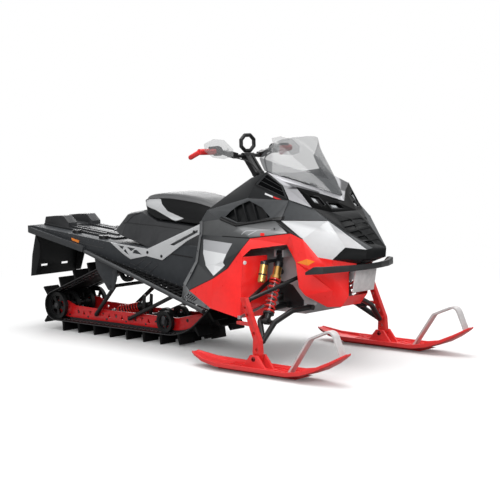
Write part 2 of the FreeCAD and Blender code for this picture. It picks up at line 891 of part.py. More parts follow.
knee_high = vec(183, 250, 762)
knee_mid = vec(190, 262, 690)
knee_low = vec(190, 300, 540)
toe_rear = vec(190, 400, 425)
sill_rear = vec(254, 422, 390)
sill_mid = vec(450, 448, 305)
sill_front = vec(655, 425, 262)
side_belt_rear = vec(430, 320, 697)
side_belt_mid = vec(680, 356, 700)
side_belt_front = vec(930, 300, 733)
cheek_low = vec(975, 258, 700)
zig_low = vec(450, 425, 470)
zig_mid = vec(545, 402, 530)
zig_high = vec(640, 396, 632)
bulge = vec(430, 388, 540)
well_mid = vec(655, 408, 450)
well_high = vec(658, 398, 600)
arch_rear = vec(700, 374, 642)
arch_front = vec(884, 285, 668)
vent_rear = vec(398, 300, 790)
vent_low = vec(541, 322, 760)
vent_front = vec(796, 302, 800)
cheek_rear = vec(843, 283, 797)
cheek_top = vec(1090, 180, 797)
cheek_tip = vec(1275, 82, 642)
cheek_notch = vec(1165, 130, 652)
cheek_foot = vec(1110, 172, 587)
cheek_heel = vec(1040, 208, 600)
hood_rear = vec(233, 240, 832)
hood_vent = vec(581, 262, 912)
hood_side = vec(869, 240, 905)
lamp_low = vec(998, 200, 863)
nose_side = vec(1142, 100, 735)
nose_edge = vec(1295, 52, 650)
crest_rear = vec(300, 190, 872)
crest_mid = vec(395, 190, 944)
crest_high = vec(540, 190, 1019)
glass_rear = vec(690, 222, 1055)
window_rear = vec(600, 228, 985)
window_front = vec(820, 236, 985)
glass_mid = vec(844, 122, 997)
glass_front = vec(1034, 0, 922)
lamp_rear = vec(904, 222, 975)
lamp_brow = vec(965, 120, 940)
lamp_peak = vec(1055, 0, 888)
lamp_chin = vec(1075, 130, 838)
lamp_foot = vec(1140, 0, 842)
nose_high = vec(1233, 0, 765)
nose_tip = vec(1340, 0, 647)
lip_tip = vec(1335, 0, 600)
lip_side = vec(1268, 85, 590)
lip_under = vec(1210, 0, 560)
brow_under = vec(1195, 66, 560)
chin_rear = vec(926, 262, 572)
chin_back = vec(936, 252, 434)
chin_mid = vec(1000, 240, 535)
chin_side = vec(1090, 165, 530)
chin_edge = vec(1145, 78, 512)
chin_low = vec(958, 228, 390)
chin_foot = vec(1020, 118, 318)
chin_toe = vec(1090, 80, 322)
chin_lip = vec(1142, 80, 382)
chin_turn = vec(1075, 135, 415)


def inner_point(point, wall, core=None):
    """The point under an outer point, moved by the wall towards the middle of the body."""
    core = core or vec(min(point.x, core_x), 0, core_z)
    return point.sub(point.sub(core).normalize().multiply(wall))


def fold_key(point):
    """Name for a point, so that facets that share it can be matched."""
    return (round(point.x, 4), round(point.y, 4), round(point.z, 4))


def triangle(a, b, c):
    """Flat facet."""
    return Part.Face(Part.makePolygon([a, b, c, a]))


def patch(facets, wall=panel_wall, core=None):
    """Moulded panel: outer facets, the same facets inside, and walls round the rim."""
    faces = []
    rim = {}
    for facet in facets:
        for b, c in zip(facet[1:], facet[2:]):
            corners = (facet[0], b, c)
            faces.append(triangle(*corners))
            faces.append(triangle(*[inner_point(p, wall, core) for p in corners]))
            for p, q in zip(corners, corners[1:] + corners[:1]):
                key = tuple(sorted((fold_key(p), fold_key(q))))
                rim[key] = None if key in rim else (p, q)
    for key, ends in rim.items():
        if ends is None:
            continue
        p, q = sorted(ends, key=fold_key)
        p_in = inner_point(p, wall, core)
        q_in = inner_point(q, wall, core)
        faces.append(triangle(p, q, q_in))
        faces.append(triangle(p, q_in, p_in))
    shell = Part.makeShell(faces)
    shell.sewShape()
    solid = Part.makeSolid(shell)
    if solid.Volume < 0:
        solid = Part.makeSolid(shell.reversed())
    return solid


def other_side(facets):
    """The same facets on the right side."""
    return [[vec(p.x, -p.y, p.z) for p in facet] for facet in facets]


def across(facets):
    """Facets of both sides, joined at the middle plane."""
    return facets + other_side(facets)


def facet_frame(corners):
    """Centre of a four-cornered facet and its normal, pointing out of the body."""
    centre = corners[0].add(corners[1]).add(corners[2]).add(corners[3]).multiply(0.25)
    normal = corners[2].sub(corners[0]).cross(corners[3].sub(corners[1])).normalize()
    if normal.dot(centre.sub(vec(core_x, 0, core_z))) < 0:
        normal = normal.multiply(-1)
    return centre, normal


def facet_prism(corners, outline, low, high):
    """Prism across a facet. The outline is in shares along and across it, the depths are from its plane."""
    centre, normal = facet_frame(corners)
    points = []
    for u, v in outline:
        near = corners[0].add(corners[1].sub(corners[0]).multiply(u))
        far = corners[3].add(corners[2].sub(corners[3]).multiply(u))
        point = near.add(far.sub(near).multiply(v))
        depth = point.sub(centre).dot(normal)
        points.append(point.sub(vec(*normal).multiply(depth - low)))
    return Part.Face(Part.makePolygon(points + points[:1])).extrude(vec(*normal).multiply(high - low))


def shrunk(outline, margin):
    """Outline drawn in towards its middle by a share."""
    u0 = sum(u for u, v in outline) / len(outline)
    v0 = sum(v for u, v in outline) / len(outline)
    return [(u0 + (u - u0) * (1 - margin), v0 + (v - v0) * (1 - margin)) for u, v in outline]


def side_panels():
    """Dark grey side panels behind the red ones."""
    return pair(patch([
        [knee_mid, side_belt_rear, bulge, knee_low],
        [knee_low, bulge, zig_low],
        [knee_low, zig_low, sill_rear],
        [knee_low, sill_rear, toe_rear],
        [bulge, zig_mid, zig_low],
        [side_belt_rear, side_belt_mid, zig_high],
        [side_belt_rear, zig_high, bulge],
        [bulge, zig_high, zig_mid],
    ]))


knee_strip = 30.0
knee_lift = 5.0
knee_gap = 0.6
toe_low_rear = vec(206, 437, 345)
toe_low_front = vec(424, 452, 301)


def knee_frames():
    """Raised grey edge in front of the rider's knees, laid on the panels."""
    line = []
    for point, aims in (
        (knee_high, [vent_rear]),
        (knee_mid, [side_belt_rear, bulge]),
        (knee_low, [bulge]),
        (toe_rear, [sill_rear]),
    ):
        row = [point]
        for aim in aims:
            row.append(point.add(aim.sub(point).normalize().multiply(knee_strip)))
        line.append([inner_point(p, -knee_lift - knee_gap) for p in row])
    facets = [row for row in line if len(row) == 3]
    for a, b in zip(line, line[1:]):
        facets.append([a[0], a[-1], b[1], b[0]])
    return pair(patch(facets, knee_lift))


def toe_guards():
    """Dark guards in front of the rider's toes, with upright slots."""
    drop = vec(0, 1, -1)
    facet = [toe_low_rear, toe_low_front, sill_mid.add(drop), sill_rear.add(drop)]
    guard = patch([facet, [toe_rear.add(drop), facet[0], facet[3]]], 5)
    for k in range(5):
        u = 0.07 + 0.08 * k
        slot = [(u, 0.2), (u + 0.035, 0.2), (u + 0.035, 0.86), (u, 0.9)]
        guard = guard.cut(facet_prism(facet, slot, -25, 25))
    return pair(guard)


def red_panels():
    """Red lower side panels with the arch over the shock, and the wall behind the wheel well."""
    panel = patch([
        [sill_rear, zig_low, sill_mid],
        [zig_low, zig_mid, sill_mid],
        [zig_mid, well_mid, sill_mid],
        [sill_mid, well_mid, sill_front],
        [zig_mid, zig_high, well_mid],
        [zig_high, well_high, well_mid],
        [zig_high, side_belt_mid, arch_rear],
        [zig_high, arch_rear, well_high],
        [side_belt_mid, side_belt_front, arch_front],
        [side_belt_mid, arch_front, arch_rear],
    ])
    low, mid, high = [inner_point(p, panel_wall + seat_gap) for p in (sill_front, well_mid, well_high)]
    well = patch([
        [low, mid, vec(690, 236, 450), vec(690, 236, 264)],
        [mid, high, vec(692, 236, 598), vec(690, 236, 450)],
    ], core=vec(400, 320, 430))
    return pair(panel) + pair(well)


def shoulder_panels():
    """Grey panels between the vents and the side panels, with the pale stripe."""
    return pair(patch([
        [knee_high, vent_rear, side_belt_rear, knee_mid],
        [vent_rear, vent_low, side_belt_rear],
        [vent_low, side_belt_mid, side_belt_rear],
        [vent_low, vent_front, side_belt_front, side_belt_mid],
        [vent_front, cheek_rear, cheek_low, side_belt_front],
    ]))


def cheek_panels():
    """White panels on both sides of the nose."""
    return pair(patch([
        [cheek_rear, cheek_top, cheek_low],
        [cheek_top, cheek_heel, cheek_low],
        [cheek_top, cheek_foot, cheek_heel],
        [cheek_top, cheek_tip, cheek_notch, cheek_foot],
    ]))


def vent_facets(depth):
    """Facets of the left vent panel, or of a surface at a depth under it."""
    facets = [
        [hood_rear, hood_vent, vent_rear, knee_high],
        [hood_vent, vent_low, vent_rear],
        [hood_vent, hood_side, vent_front, vent_low],
        [hood_side, cheek_rear, vent_front],
    ]
    return [[inner_point(p, depth) for p in facet] for facet in facets]


def vent_opening(margin):
    """Prism through the left vent, smaller by a margin at its ends."""
    outline = [(432, 803), (545, 778), (640, 784), (778, 812), (700, 862), (596, 896), (512, 866), (466, 836)]
    middle = vec(590, 0, 830)
    drawn = [(x + margin * (middle.x - x) / 180, z + margin * (middle.z - z) / 60) for x, z in outline]
    return side_plate(drawn, 180, 400)


def vent_panels():
    """Panels that carry the side louvres."""
    return pair(patch(vent_facets(0)).cut(vent_opening(0)))


def vent_louvres():
    """Trays behind the side vents, with four slanted slats in each."""
    depth = 22.0
    step = panel_wall + seat_gap
    opening = vent_opening(2)
    tray = patch(vent_facets(step), depth)
    tray = tray.cut(patch(vent_facets(step - 2), depth - 3).common(opening))
    room = patch(vent_facets(1), depth + step - 3).common(opening)
    lean = 58.0
    slats = []
    for k in range(4):
        x = 448 + 78 * k
        slat = [(x, 900), (x + 11, 900), (x + 11 + 1.6 * lean, 770), (x + 1.6 * lean, 770)]
        prism = side_plate(slat, 180, 400)
        slats.append(room.common(prism))
    return pair(joined([tray] + slats))


def console():
    """Black console round the steering post, behind the windshield."""
    facets = [
        [crest_rear, crest_mid, hood_rear],
        [crest_mid, hood_vent, hood_rear],
        [crest_mid, crest_high, hood_vent],
        [crest_high, window_rear, hood_vent],
        [window_rear, hood_side, hood_vent],
        [crest_high, glass_rear, window_rear],
    ]
    tank_rear = vec(300, 0, 896)
    tank_mid = vec(392, 0, 960)
    tank_high = vec(530, 0, 1000)
    deck = vec(690, 0, 1040)
    hole_rear = vec(398, 48, 960)
    hole_front = vec(520, 48, 995)
    facets += [
        [crest_rear, crest_mid, tank_mid, tank_rear],
        [crest_mid, hole_rear, tank_mid],
        [crest_mid, crest_high, hole_front, hole_rear],
        [crest_high, tank_high, hole_front],
        [tank_mid, hole_rear, vec(hole_rear.x, 0, hole_rear.z)],
        [tank_high, vec(hole_front.x, 0, hole_front.z), hole_front],
        [crest_high, glass_rear, deck, tank_high],
        [deck, glass_rear, glass_mid],
        [deck, glass_mid, glass_front],
    ]
    return [patch(across(facets))]


def side_windows():
    """Black vent windows in front of the console."""
    return pair(patch([[window_rear, glass_rear, window_front, hood_side]]))


def hood_sides():
    """Dark grey hood sides that run down to the nose."""
    return pair(patch([
        [hood_side, lamp_low, cheek_top, cheek_rear],
        [lamp_low, nose_side, cheek_top],
        [nose_side, nose_edge, cheek_tip, cheek_top],
    ]))


def brow_trim():
    """White trim round the base of the windshield."""
    facets = [
        [glass_rear, glass_mid, lamp_rear, window_front],
        [window_front, lamp_rear, lamp_low, hood_side],
        [glass_mid, glass_front, lamp_peak, lamp_brow],
        [glass_mid, lamp_brow, lamp_rear],
    ]
    return [patch(across(facets))]


lamp_facets = [
    [lamp_rear, lamp_brow, lamp_chin, lamp_low],
    [lamp_brow, lamp_peak, lamp_foot, lamp_chin],
]
lens_outlines = [
    [(0.34, 0.34), (0.86, 0.30), (0.94, 0.62), (0.62, 0.82), (0.36, 0.66)],
    [(0.10, 0.52), (0.52, 0.50), (0.60, 0.78), (0.14, 0.80)],
]


def headlamps():
    """Black lamp housing across the nose, with four windows."""
    housing = patch(across(lamp_facets))
    for facet, outline in zip(lamp_facets, lens_outlines):
        window = facet_prism(facet, outline, -30, 30)
        housing = housing.cut(window).cut(mirrored(window))
    return [housing]


def lamp_lenses():
    """Clear lenses in the windows, each with its bowl behind it."""
    lenses = []
    for facet, outline in zip(lamp_facets, lens_outlines):
        rim = facet_prism(facet, shrunk(outline, 0.008), -26, -6)
        hollow = facet_prism(facet, shrunk(outline, 0.16), -22, -9)
        lenses += pair(rim.cut(hollow))
    return lenses


grille_facets = [
    [lamp_chin, lamp_foot, nose_high, nose_side],
    [nose_side, nose_high, nose_tip, nose_edge],
]


def grille_windows():
    """Slots of the nose, in rows that follow its fold."""
    windows = []
    for facet, rows in zip(grille_facets, ((0.5, 0.8), (0.08, 0.34, 0.6))):
        for v in rows:
            for u in (0.07, 0.53):
                outline = [(u, v), (u + 0.40, v), (u + 0.42, v + 0.10), (u + 0.37, v + 0.20), (u + 0.02, v + 0.20)]
                windows.append(facet_prism(facet, outline, -40, 40))
    return windows


def nose():
    """Black nose from the lamps down to the lip, with the grille and the plate behind it."""
    facets = [
        [lamp_low, lamp_chin, nose_side],
        grille_facets[0],
        grille_facets[1],
        [nose_edge, nose_tip, lip_tip, lip_side, cheek_tip],
        [cheek_tip, lip_side, cheek_notch],
        [cheek_notch, lip_side, cheek_foot],
        [cheek_foot, lip_side, brow_under],
        [lip_side, lip_tip, lip_under, brow_under],
    ]
    shell = patch(across(facets))
    slots = Part.makeCompound(grille_windows())
    shell = shell.cut(slots).cut(mirrored(slots))
    depth = panel_wall + seat_gap
    backing = [[inner_point(p, depth) for p in facet] for facet in grille_facets]
    floor = [[inner_point(p, depth - 2) for p in facet] for facet in grille_facets]
    tray = patch(across(backing), 16)
    pocket = patch(across(floor), 15).common(Part.makeCompound([slots, mirrored(slots)]))
    return [shell, tray.cut(pocket)]


def chin_panel():
    """Red belly pan under the nose."""
    facets = [
        [side_belt_front, cheek_low, chin_rear, arch_front],
        [cheek_low, cheek_heel, chin_mid, chin_rear],
        [cheek_heel, cheek_foot, chin_side, chin_mid],
        [cheek_foot, brow_under, chin_edge, chin_side],
        [chin_rear, chin_mid, chin_turn, chin_back],
        [chin_mid, chin_side, chin_turn],
        [chin_side, chin_edge, chin_lip, chin_turn],
        [chin_back, chin_turn, chin_low],
        [chin_low, chin_turn, chin_foot],
        [chin_turn, chin_lip, chin_toe],
        [chin_turn, chin_toe, chin_foot],
        [chin_lip, vec(chin_lip.x, 0, chin_lip.z), vec(chin_toe.x, 0, chin_toe.z), chin_toe],
        [chin_toe, vec(chin_toe.x, 0, chin_toe.z), vec(chin_foot.x, 0, chin_foot.z), chin_foot],
    ]
    return [patch(across(facets))]


def windshield():
    """Clear shield, wrapped back from a pointed base."""
    wall = 4.0
    stations = [
        (-226, [(696, 1040), (664, 1090), (645, 1128)]),
        (-190, [(754, 1015), (727, 1130), (712, 1206)]),
        (-110, [(872, 970), (812, 1140), (764, 1238)]),
        (0, [(1046, 905), (905, 1125), (795, 1244)]),
        (110, [(872, 970), (812, 1140), (764, 1238)]),
        (190, [(754, 1015), (727, 1130), (712, 1206)]),
        (226, [(696, 1040), (664, 1090), (645, 1128)]),
    ]
    wires = []
    for y, knots in stations:
        outer = [vec(x, y, z) for x, z in knots]
        inner = [vec(x - wall, y, z) for x, z in reversed(knots)]
        front = Part.BSplineCurve()
        front.interpolate(outer)
        back = Part.BSplineCurve()
        back.interpolate(inner)
        wires.append(Part.Wire([
            front.toShape(),
            Part.LineSegment(outer[-1], inner[0]).toShape(),
            back.toShape(),
            Part.LineSegment(inner[-1], outer[0]).toShape(),
        ]))
    shield = Part.makeLoft(wires, True, False)
    slope = (glass_front.z - glass_rear.z) / (glass_front.x - glass_rear.x)
    start = (glass_rear.x - 90, glass_rear.z - 90 * slope + 2)
    end = (glass_front.x + 60, glass_front.z + 60 * slope + 2)
    return [shield.cut(side_plate([start, end, (end[0], 800), (start[0], 800)], -300, 300))]


# Chassis front: bulkhead, engine, bumper.

bulkhead_half = 150.0
bulkhead_wall = 12.0
bulkhead_floor = 275.0


def engine():
    """Engine as one block."""
    half = bulkhead_half - bulkhead_wall - 2
    low = bulkhead_floor + bulkhead_wall + seat_gap
    return [box(440, 680, -half, half, low, 690)]


def bulkhead():
    """Aluminium front frame that carries the arms, the shock towers and the steering bearing."""
    rear = tunnel_front_x + seat_gap
    low = bulkhead_floor
    outline = [(rear, 560), (rear, low), (890, low), (978, 338), (920, 560), (740, 700)]
    frame = side_plate(outline, -bulkhead_half, bulkhead_half)
    wall = bulkhead_wall
    inner = [(rear + wall, 800), (rear + wall, low + wall), (886, low + wall), (964, 344), (908, 550), (760, 800)]
    frame = frame.cut(side_plate(inner, wall - bulkhead_half, bulkhead_half - wall))
    pieces = [frame]
    for side in (-1, 1):
        near = side * (bulkhead_half - 1)
        far = side * (shock_top.y + 16)
        for x in (shock_top.x - 34, shock_top.x + 24):
            pieces.append(box(x, x + 10, min(near, far), max(near, far), shock_top.z - 20, shock_top.z + 20))
        start = vec(shock_top.x - 34, side * shock_top.y, shock_top.z)
        pieces.append(Part.makeCylinder(shock_pin_radius, 68, start, vec(1, 0, 0)))
    post = steer_point(-88, 0, 0)
    tower = [(post.x - 34, 560), (post.x - 34, post.z - 8), (post.x + 30, post.z + 26), (post.x + 60, 560)]
    for side in (-1, 1):
        y = side * (bulkhead_half - wall / 2)
        pieces.append(side_plate(tower, y - wall / 2, y + wall / 2))
    sheet_low = tunnel_low_z(tunnel_front_x)
    sheet_top = tunnel_top_z(tunnel_front_x)
    pieces.append(box(rear, rear + wall, -tunnel_half, tunnel_half, sheet_low, sheet_top))
    nose_arm = [(930, 440), (1150, 470), (1184, 470), (1196, 533.7), (925, 500)]
    for y in (-58, 46):
        pieces.append(side_plate(nose_arm, y, y + 12))
    guide_z = tie_rod_inner.z
    guide = box(tie_rod_inner.x - 18, tie_rod_inner.x + 18, -20, 20, low + 2, guide_z + 18)
    bearing = rod(steer_point(-106, 0, 0), steer_point(-70, 0, 0), 32)
    beam = flat_bar(vec(post.x, -bulkhead_half, post.z), vec(post.x, bulkhead_half, post.z), 26, 22)
    pieces += [bearing, beam]
    solid = joined(pieces)
    solid = solid.cut(rod(steer_point(-100, 0, 0), steer_point(100, 0, 0), post_radius + shaft_gap))
    room = box(tie_rod_inner.x - 18, tie_rod_inner.x + 22, -200, 200, guide_z - 34, guide_z + 18)
    bore = cross_rod(tie_rod_inner.x, guide_z, 40, drag_link_radius + shaft_gap)
    return [joined([solid.cut(room), guide]).cut(bore)]


def front_bumper():
    """Flat dark bar round the nose."""
    z0 = 530.0
    z1 = 562.0
    plan = [
        (1065, 345),
        (1150, 300),
        (1225, 170),
        (1258, 60),
        (1262, 0),
        (1244, 0),
        (1240, 56),
        (1208, 160),
        (1140, 282),
        (1060, 325),
    ]
    half = plan_plate(plan, z0 - 12, z1)
    half = half.cut(side_plate([(1050, z0 - 14), (1280, z0 - 14), (1280, z0 + 4), (1050, z0 - 12)], 0, 400))
    half = half.cut(side_plate([(1050, z0 - 6), (1108, z1 + 1), (1050, z1 + 1)], 200, 400))
    stay = box(1090, 1246, 42, 58, z0 + 4, z1 - 14)
    return [joined(pair(half) + pair(stay))]


def skid_plate():
    """Light grey tow plate in the middle of the chin."""
    outline = [(1196, 530), (1204, 530), (1180, 405), (1172, 405)]
    return [side_plate(outline, -88, 88)]


# Steering

steer_axis = vec(-math.sin(math.radians(steer_tilt)), 0, math.cos(math.radians(steer_tilt)))
steer_base = vec(steer_x, 0, steer_z)


def steer_point(along, ahead, aside):
    """Point given along the steering axis, ahead of it and to the left."""
    forward = vec(math.cos(math.radians(steer_tilt)), 0, math.sin(math.radians(steer_tilt)))
    point = steer_base.add(vec(*steer_axis).multiply(along))
    point = point.add(forward.multiply(ahead))
    return point.add(vec(0, aside, 0))


def steering_post():
    """Post that turns with the bar."""
    post = rod(steer_point(-98, 0, 0), steer_point(bar_height - 5, 0, 0), post_radius)
    riser = []
    for side in (-1, 1):
        riser.append(flat_bar(steer_point(60, 0, side * 26), steer_point(bar_height, 0, side * 26), 16, 30))
    clamp = rod(steer_point(bar_height, 0, -42), steer_point(bar_height, 0, 42), bar_clamp_radius)
    foot = rod(steer_point(60, 0, -34), steer_point(60, 0, 34), 18)
    pieces = joined([post, clamp, foot] + riser)
    bore = rod(steer_point(bar_height, 0, -60), steer_point(bar_height, 0, 60), bar_radius + shaft_gap)
    return [pieces.cut(bore)]


def bar_route():
    """Points of the handlebar from right to left."""
    return [
        steer_point(bar_height + 34, 12, -bar_half),
        steer_point(bar_height + 30, 12, -bar_bend_y),
        steer_point(bar_height, 0, -bar_flat_y),
        steer_point(bar_height, 0, bar_flat_y),
        steer_point(bar_height + 30, 12, bar_bend_y),
        steer_point(bar_height + 34, 12, bar_half),
    ]


def handlebar():
    """Bar swept back to the grips."""
    return [bent_tube(bar_route(), bar_radius, 60)]


grip_length = 112.0


def grip_line():
    """Start of the left grip and its direction towards the end of the bar."""
    start, end = bar_route()[-2:]
    along = end.sub(start).normalize()
    return end.sub(vec(*along).multiply(grip_length)), along


def grips():
    """Red grips with hooked ends."""
    start, along = grip_line()
    end = start.add(vec(*along).multiply(grip_length + seat_gap))
    grip = Part.makeCylinder(17, grip_length + 8, start, along)
    tip = end.add(vec(-70, 6, -30))
    hook = [rod(end.add(vec(*along).multiply(2)), tip, 14), Part.makeSphere(14, tip)]
    grip = joined([grip] + hook)
    mouth = start.sub(vec(*along).multiply(10))
    bore = Part.makeCylinder(bar_radius + shaft_gap, grip_length + seat_gap + 10, mouth, along)
    return pair(grip.cut(bore))


def grab_loop():
    """Black strap loop that stands on the bar."""
    strap = 11.0
    half_width = 57.0
    half_height = 48.0
    foot = steer_point(bar_height, 0, 0)
    middle = foot.z + bar_clamp_radius + strap + seat_gap + half_height * math.cos(math.pi / 8)
    pieces = []
    ring = []
    for k in range(9):
        angle = 2 * math.pi * (k + 0.5) / 8
        ring.append(vec(foot.x, half_width * math.cos(angle), middle + half_height * math.sin(angle)))
    for start, end in zip(ring, ring[1:]):
        pieces.append(rod(start, end, strap))
        pieces.append(Part.makeSphere(strap, end))
    return [joined(pieces)]


def hand_guards():
    """Pale guards in front of the grips, each on a clamp round the bar."""
    outline = [(170, 0), (200, 70), (280, 80), (370, 50), (395, 0), (360, -45), (280, -60), (200, -45)]
    corners = [steer_point(bar_height + b, 62, a) for a, b in outline]
    face = Part.Face(Part.makePolygon(corners + corners[:1]))
    forward = vec(math.cos(math.radians(steer_tilt)), 0, math.sin(math.radians(steer_tilt)))
    guard = face.extrude(vec(*forward).multiply(4))
    inner, outer = bar_route()[3:5]
    along = outer.sub(inner).normalize()
    centre = inner.add(outer.sub(inner).multiply(0.72))
    clamp = rod(centre.sub(vec(*along).multiply(9)), centre.add(vec(*along).multiply(9)), 17)
    stem = rod(centre, steer_point(bar_height + 10, 64, 198), 7)
    solid = joined([guard, stem, clamp])
    reach = vec(*along).multiply(30)
    return pair(solid.cut(rod(centre.sub(reach), centre.add(reach), bar_radius + shaft_gap)))


def bar_point(share, segment):
    """Point and direction on one straight run of the left half of the bar."""
    start, end = bar_route()[segment : segment + 2]
    along = end.sub(start).normalize()
    return start.add(end.sub(start).multiply(share)), along


def control_block(share, hole):
    """Switch block clamped round the bar, before its bore is cut."""
    centre, along = bar_point(share, 4)
    ends = [centre.add(vec(*along).multiply(d)) for d in (-20, 20)]
    return rod(ends[0], ends[1], 24 if hole else 20), centre, along


def controls():
    """Switch blocks with the brake lever on the left and the throttle lever on the right."""
    pieces = []
    for hand in (1, -1):
        block, centre, along = control_block(0.16, True)
        ahead = steer_point(0, 1, 0).sub(steer_point(0, 0, 0))
        up = vec(*steer_axis)
        pivot = centre.add(vec(*ahead).multiply(30))
        perch = flat_bar(centre, pivot, 26, 18)
        cap = flat_bar(centre.add(vec(*up).multiply(14)), centre.add(vec(*up).multiply(30)), 30, 26)
        tip = pivot.add(vec(*along).multiply(88)).add(vec(*ahead).multiply(6))
        bend = pivot.add(vec(*along).multiply(30)).add(vec(*ahead).multiply(12))
        lever = [flat_bar(pivot, bend, 9, 14), flat_bar(bend, tip, 9, 14), Part.makeSphere(8, tip)]
        reach = vec(*along).multiply(60)
        bore = rod(centre.sub(reach), centre.add(reach), bar_radius + shaft_gap)
        solid = joined([block, perch, cap] + lever).cut(bore)
        start, inward = bar_point(0.06, 3)
        end, inward = bar_point(0.46, 3)
        switch = flat_bar(start, end, 36, 32).cut(rod(start.sub(inward), end.add(inward), bar_radius + shaft_gap))
        pieces += [solid, switch] if hand > 0 else [mirrored(solid), mirrored(switch)]
    return pieces


def cable_route(side):
    """From a control, along the bar, and down beside the post into the console."""
    start, along = bar_point(0.029, 4)
    points = [
        start.sub(vec(*steer_axis).multiply(17)),
        steer_point(bar_height - 22, 14, 120),
        steer_point(bar_height - 70, 40, 62),
        steer_point(40, 36, 34),
        steer_point(-30, 26, 26),
    ]
    return [vec(p.x, side * p.y, p.z) for p in points]


def tangent_bends(points):
    """Radius of the arc at each corner: 0.45 of the shorter run over the tangent of the half turn."""
    radii = []
    for before, corner, after in zip(points, points[1:], points[2:]):
        back = before.sub(corner)
        ahead = after.sub(corner)
        half_turn = (math.pi - back.getAngle(ahead)) / 2
        radii.append(0.45 * min(back.Length, ahead.Length) / math.tan(half_turn))
    return radii


cable_radius = 3.5


def cables():
    """Brake and throttle cables, held by the bar and the post."""
    solids = []
    for side in (1, -1):
        points = cable_route(side)
        radii = tangent_bends(points)
        print("cable bends", [round(r, 1) for r in radii])
        path = bent_path(points, radii)
        ring = Part.Wire(Part.makeCircle(cable_radius, points[0], points[1].sub(points[0])))
        solids.append(path.makePipeShell([ring], True, True))
    return solids


# Front suspension, per side: spindle, arms, shock. y is on the left.

kingpin_top = vec(kingpin_top_x, kingpin_y, kingpin_top_z)
kingpin_low = vec(kingpin_low_x, kingpin_y, kingpin_low_z)


def kingpin_at(z):
    """Point of the kingpin axis at a height."""
    share = (z - kingpin_low_z) / (kingpin_top_z - kingpin_low_z)
    return kingpin_low.add(kingpin_top.sub(kingpin_low).multiply(share))


steer_arm_z = 257.0
steer_arm_x = 728.0
steer_arm_half = 8.0
tie_rod_radius = 8.0
drag_link_radius = 10.0
tie_rod_lift = 12.0
tie_rod_outer = vec(steer_arm_x, kingpin_y + 8, steer_arm_z + steer_arm_half + tie_rod_lift + 9)
tie_rod_inner = vec(705, 110, 360)


def spindle():
    """Red upright between the two ball joints, with the steering arm and the leg to the ski."""
    y0 = stance_half - spindle_half
    outline = [
        (kingpin_top_x - 18, kingpin_top_z + 18),
        (kingpin_top_x + 18, kingpin_top_z + 18),
        (kingpin_low_x + 22, kingpin_low_z + 8),
        (ski_bolt_x + 30, ski_bolt_z + 24),
        (ski_bolt_x + 20, ski_bolt_z - 22),
        (ski_bolt_x - 20, ski_bolt_z - 22),
        (ski_bolt_x - 28, ski_bolt_z + 24),
        (kingpin_low_x - 26, kingpin_low_z + 14),
    ]
    leg = side_plate(outline, y0, y0 + 2 * spindle_half)
    start = vec(kingpin_at(steer_arm_z).x, y0 + 8, steer_arm_z)
    arm = flat_bar(start, vec(steer_arm_x - 12, tie_rod_outer.y, steer_arm_z), 22, 2 * steer_arm_half)
    pieces = [leg, arm]
    for joint in (kingpin_top, kingpin_low):
        near = joint.add(vec(0, ball_radius + 1 + seat_gap, 0))
        pieces.append(rod(near, vec(joint.x, y0 + 2, joint.z), 9))
    holes = [cross_rod(ski_bolt_x, ski_bolt_z, 2 * stance_half, ski_bolt_radius + shaft_gap)]
    for z, radius in ((348, 8), (310, 9), (214, 10), (128, 9)):
        holes.append(cross_rod(kingpin_at(z).x if z > kingpin_low_z else ski_bolt_x, z, 2 * stance_half, radius))
    return joined(pieces).cut(Part.makeCompound(holes))


def wishbone_eye(inner):
    """Boss of a wishbone on the bulkhead."""
    return rod(inner.sub(vec(20, 0, 0)), inner.add(vec(20, 0, 0)), wishbone_boss)


wishbone_boss = 15.0
wishbone_inner_y = bulkhead_half + seat_gap + wishbone_boss


def upper_arms():
    """Black upper wishbones, wide enough for the shock between their legs."""
    pieces = [Part.makeSphere(ball_radius, kingpin_top)]
    for x in (914, 715):
        inner = vec(x, wishbone_inner_y, 500)
        pieces.append(rod(kingpin_top, inner, 11))
        pieces.append(wishbone_eye(inner))
    return pair(joined(pieces))


def lower_arms():
    """Black gull-shaped lower wishbones with the pin for the shock."""
    pieces = [Part.makeSphere(ball_radius + 1, kingpin_low)]
    for x_in, x_mid in ((940, 900), (764, 790)):
        knee = vec(x_mid, shock_low.y, shock_low.z)
        shoulder = vec((x_in + x_mid) / 2, kingpin_y - 205, 312)
        inner = vec(x_in, wishbone_inner_y, 318)
        pieces.append(bent_tube([kingpin_low, knee, shoulder, inner], 15, 40))
        pieces.append(wishbone_eye(inner))
    pieces.append(rod(vec(790, shock_low.y, shock_low.z), vec(900, shock_low.y, shock_low.z), shock_pin_radius))
    return pair(joined(pieces))


shock_pin_radius = 9.0
shock_eye_radius = 19.0
shock_top = vec(775, tunnel_half - 20, 610)
shock_low = vec(842, kingpin_y - 85, 262)


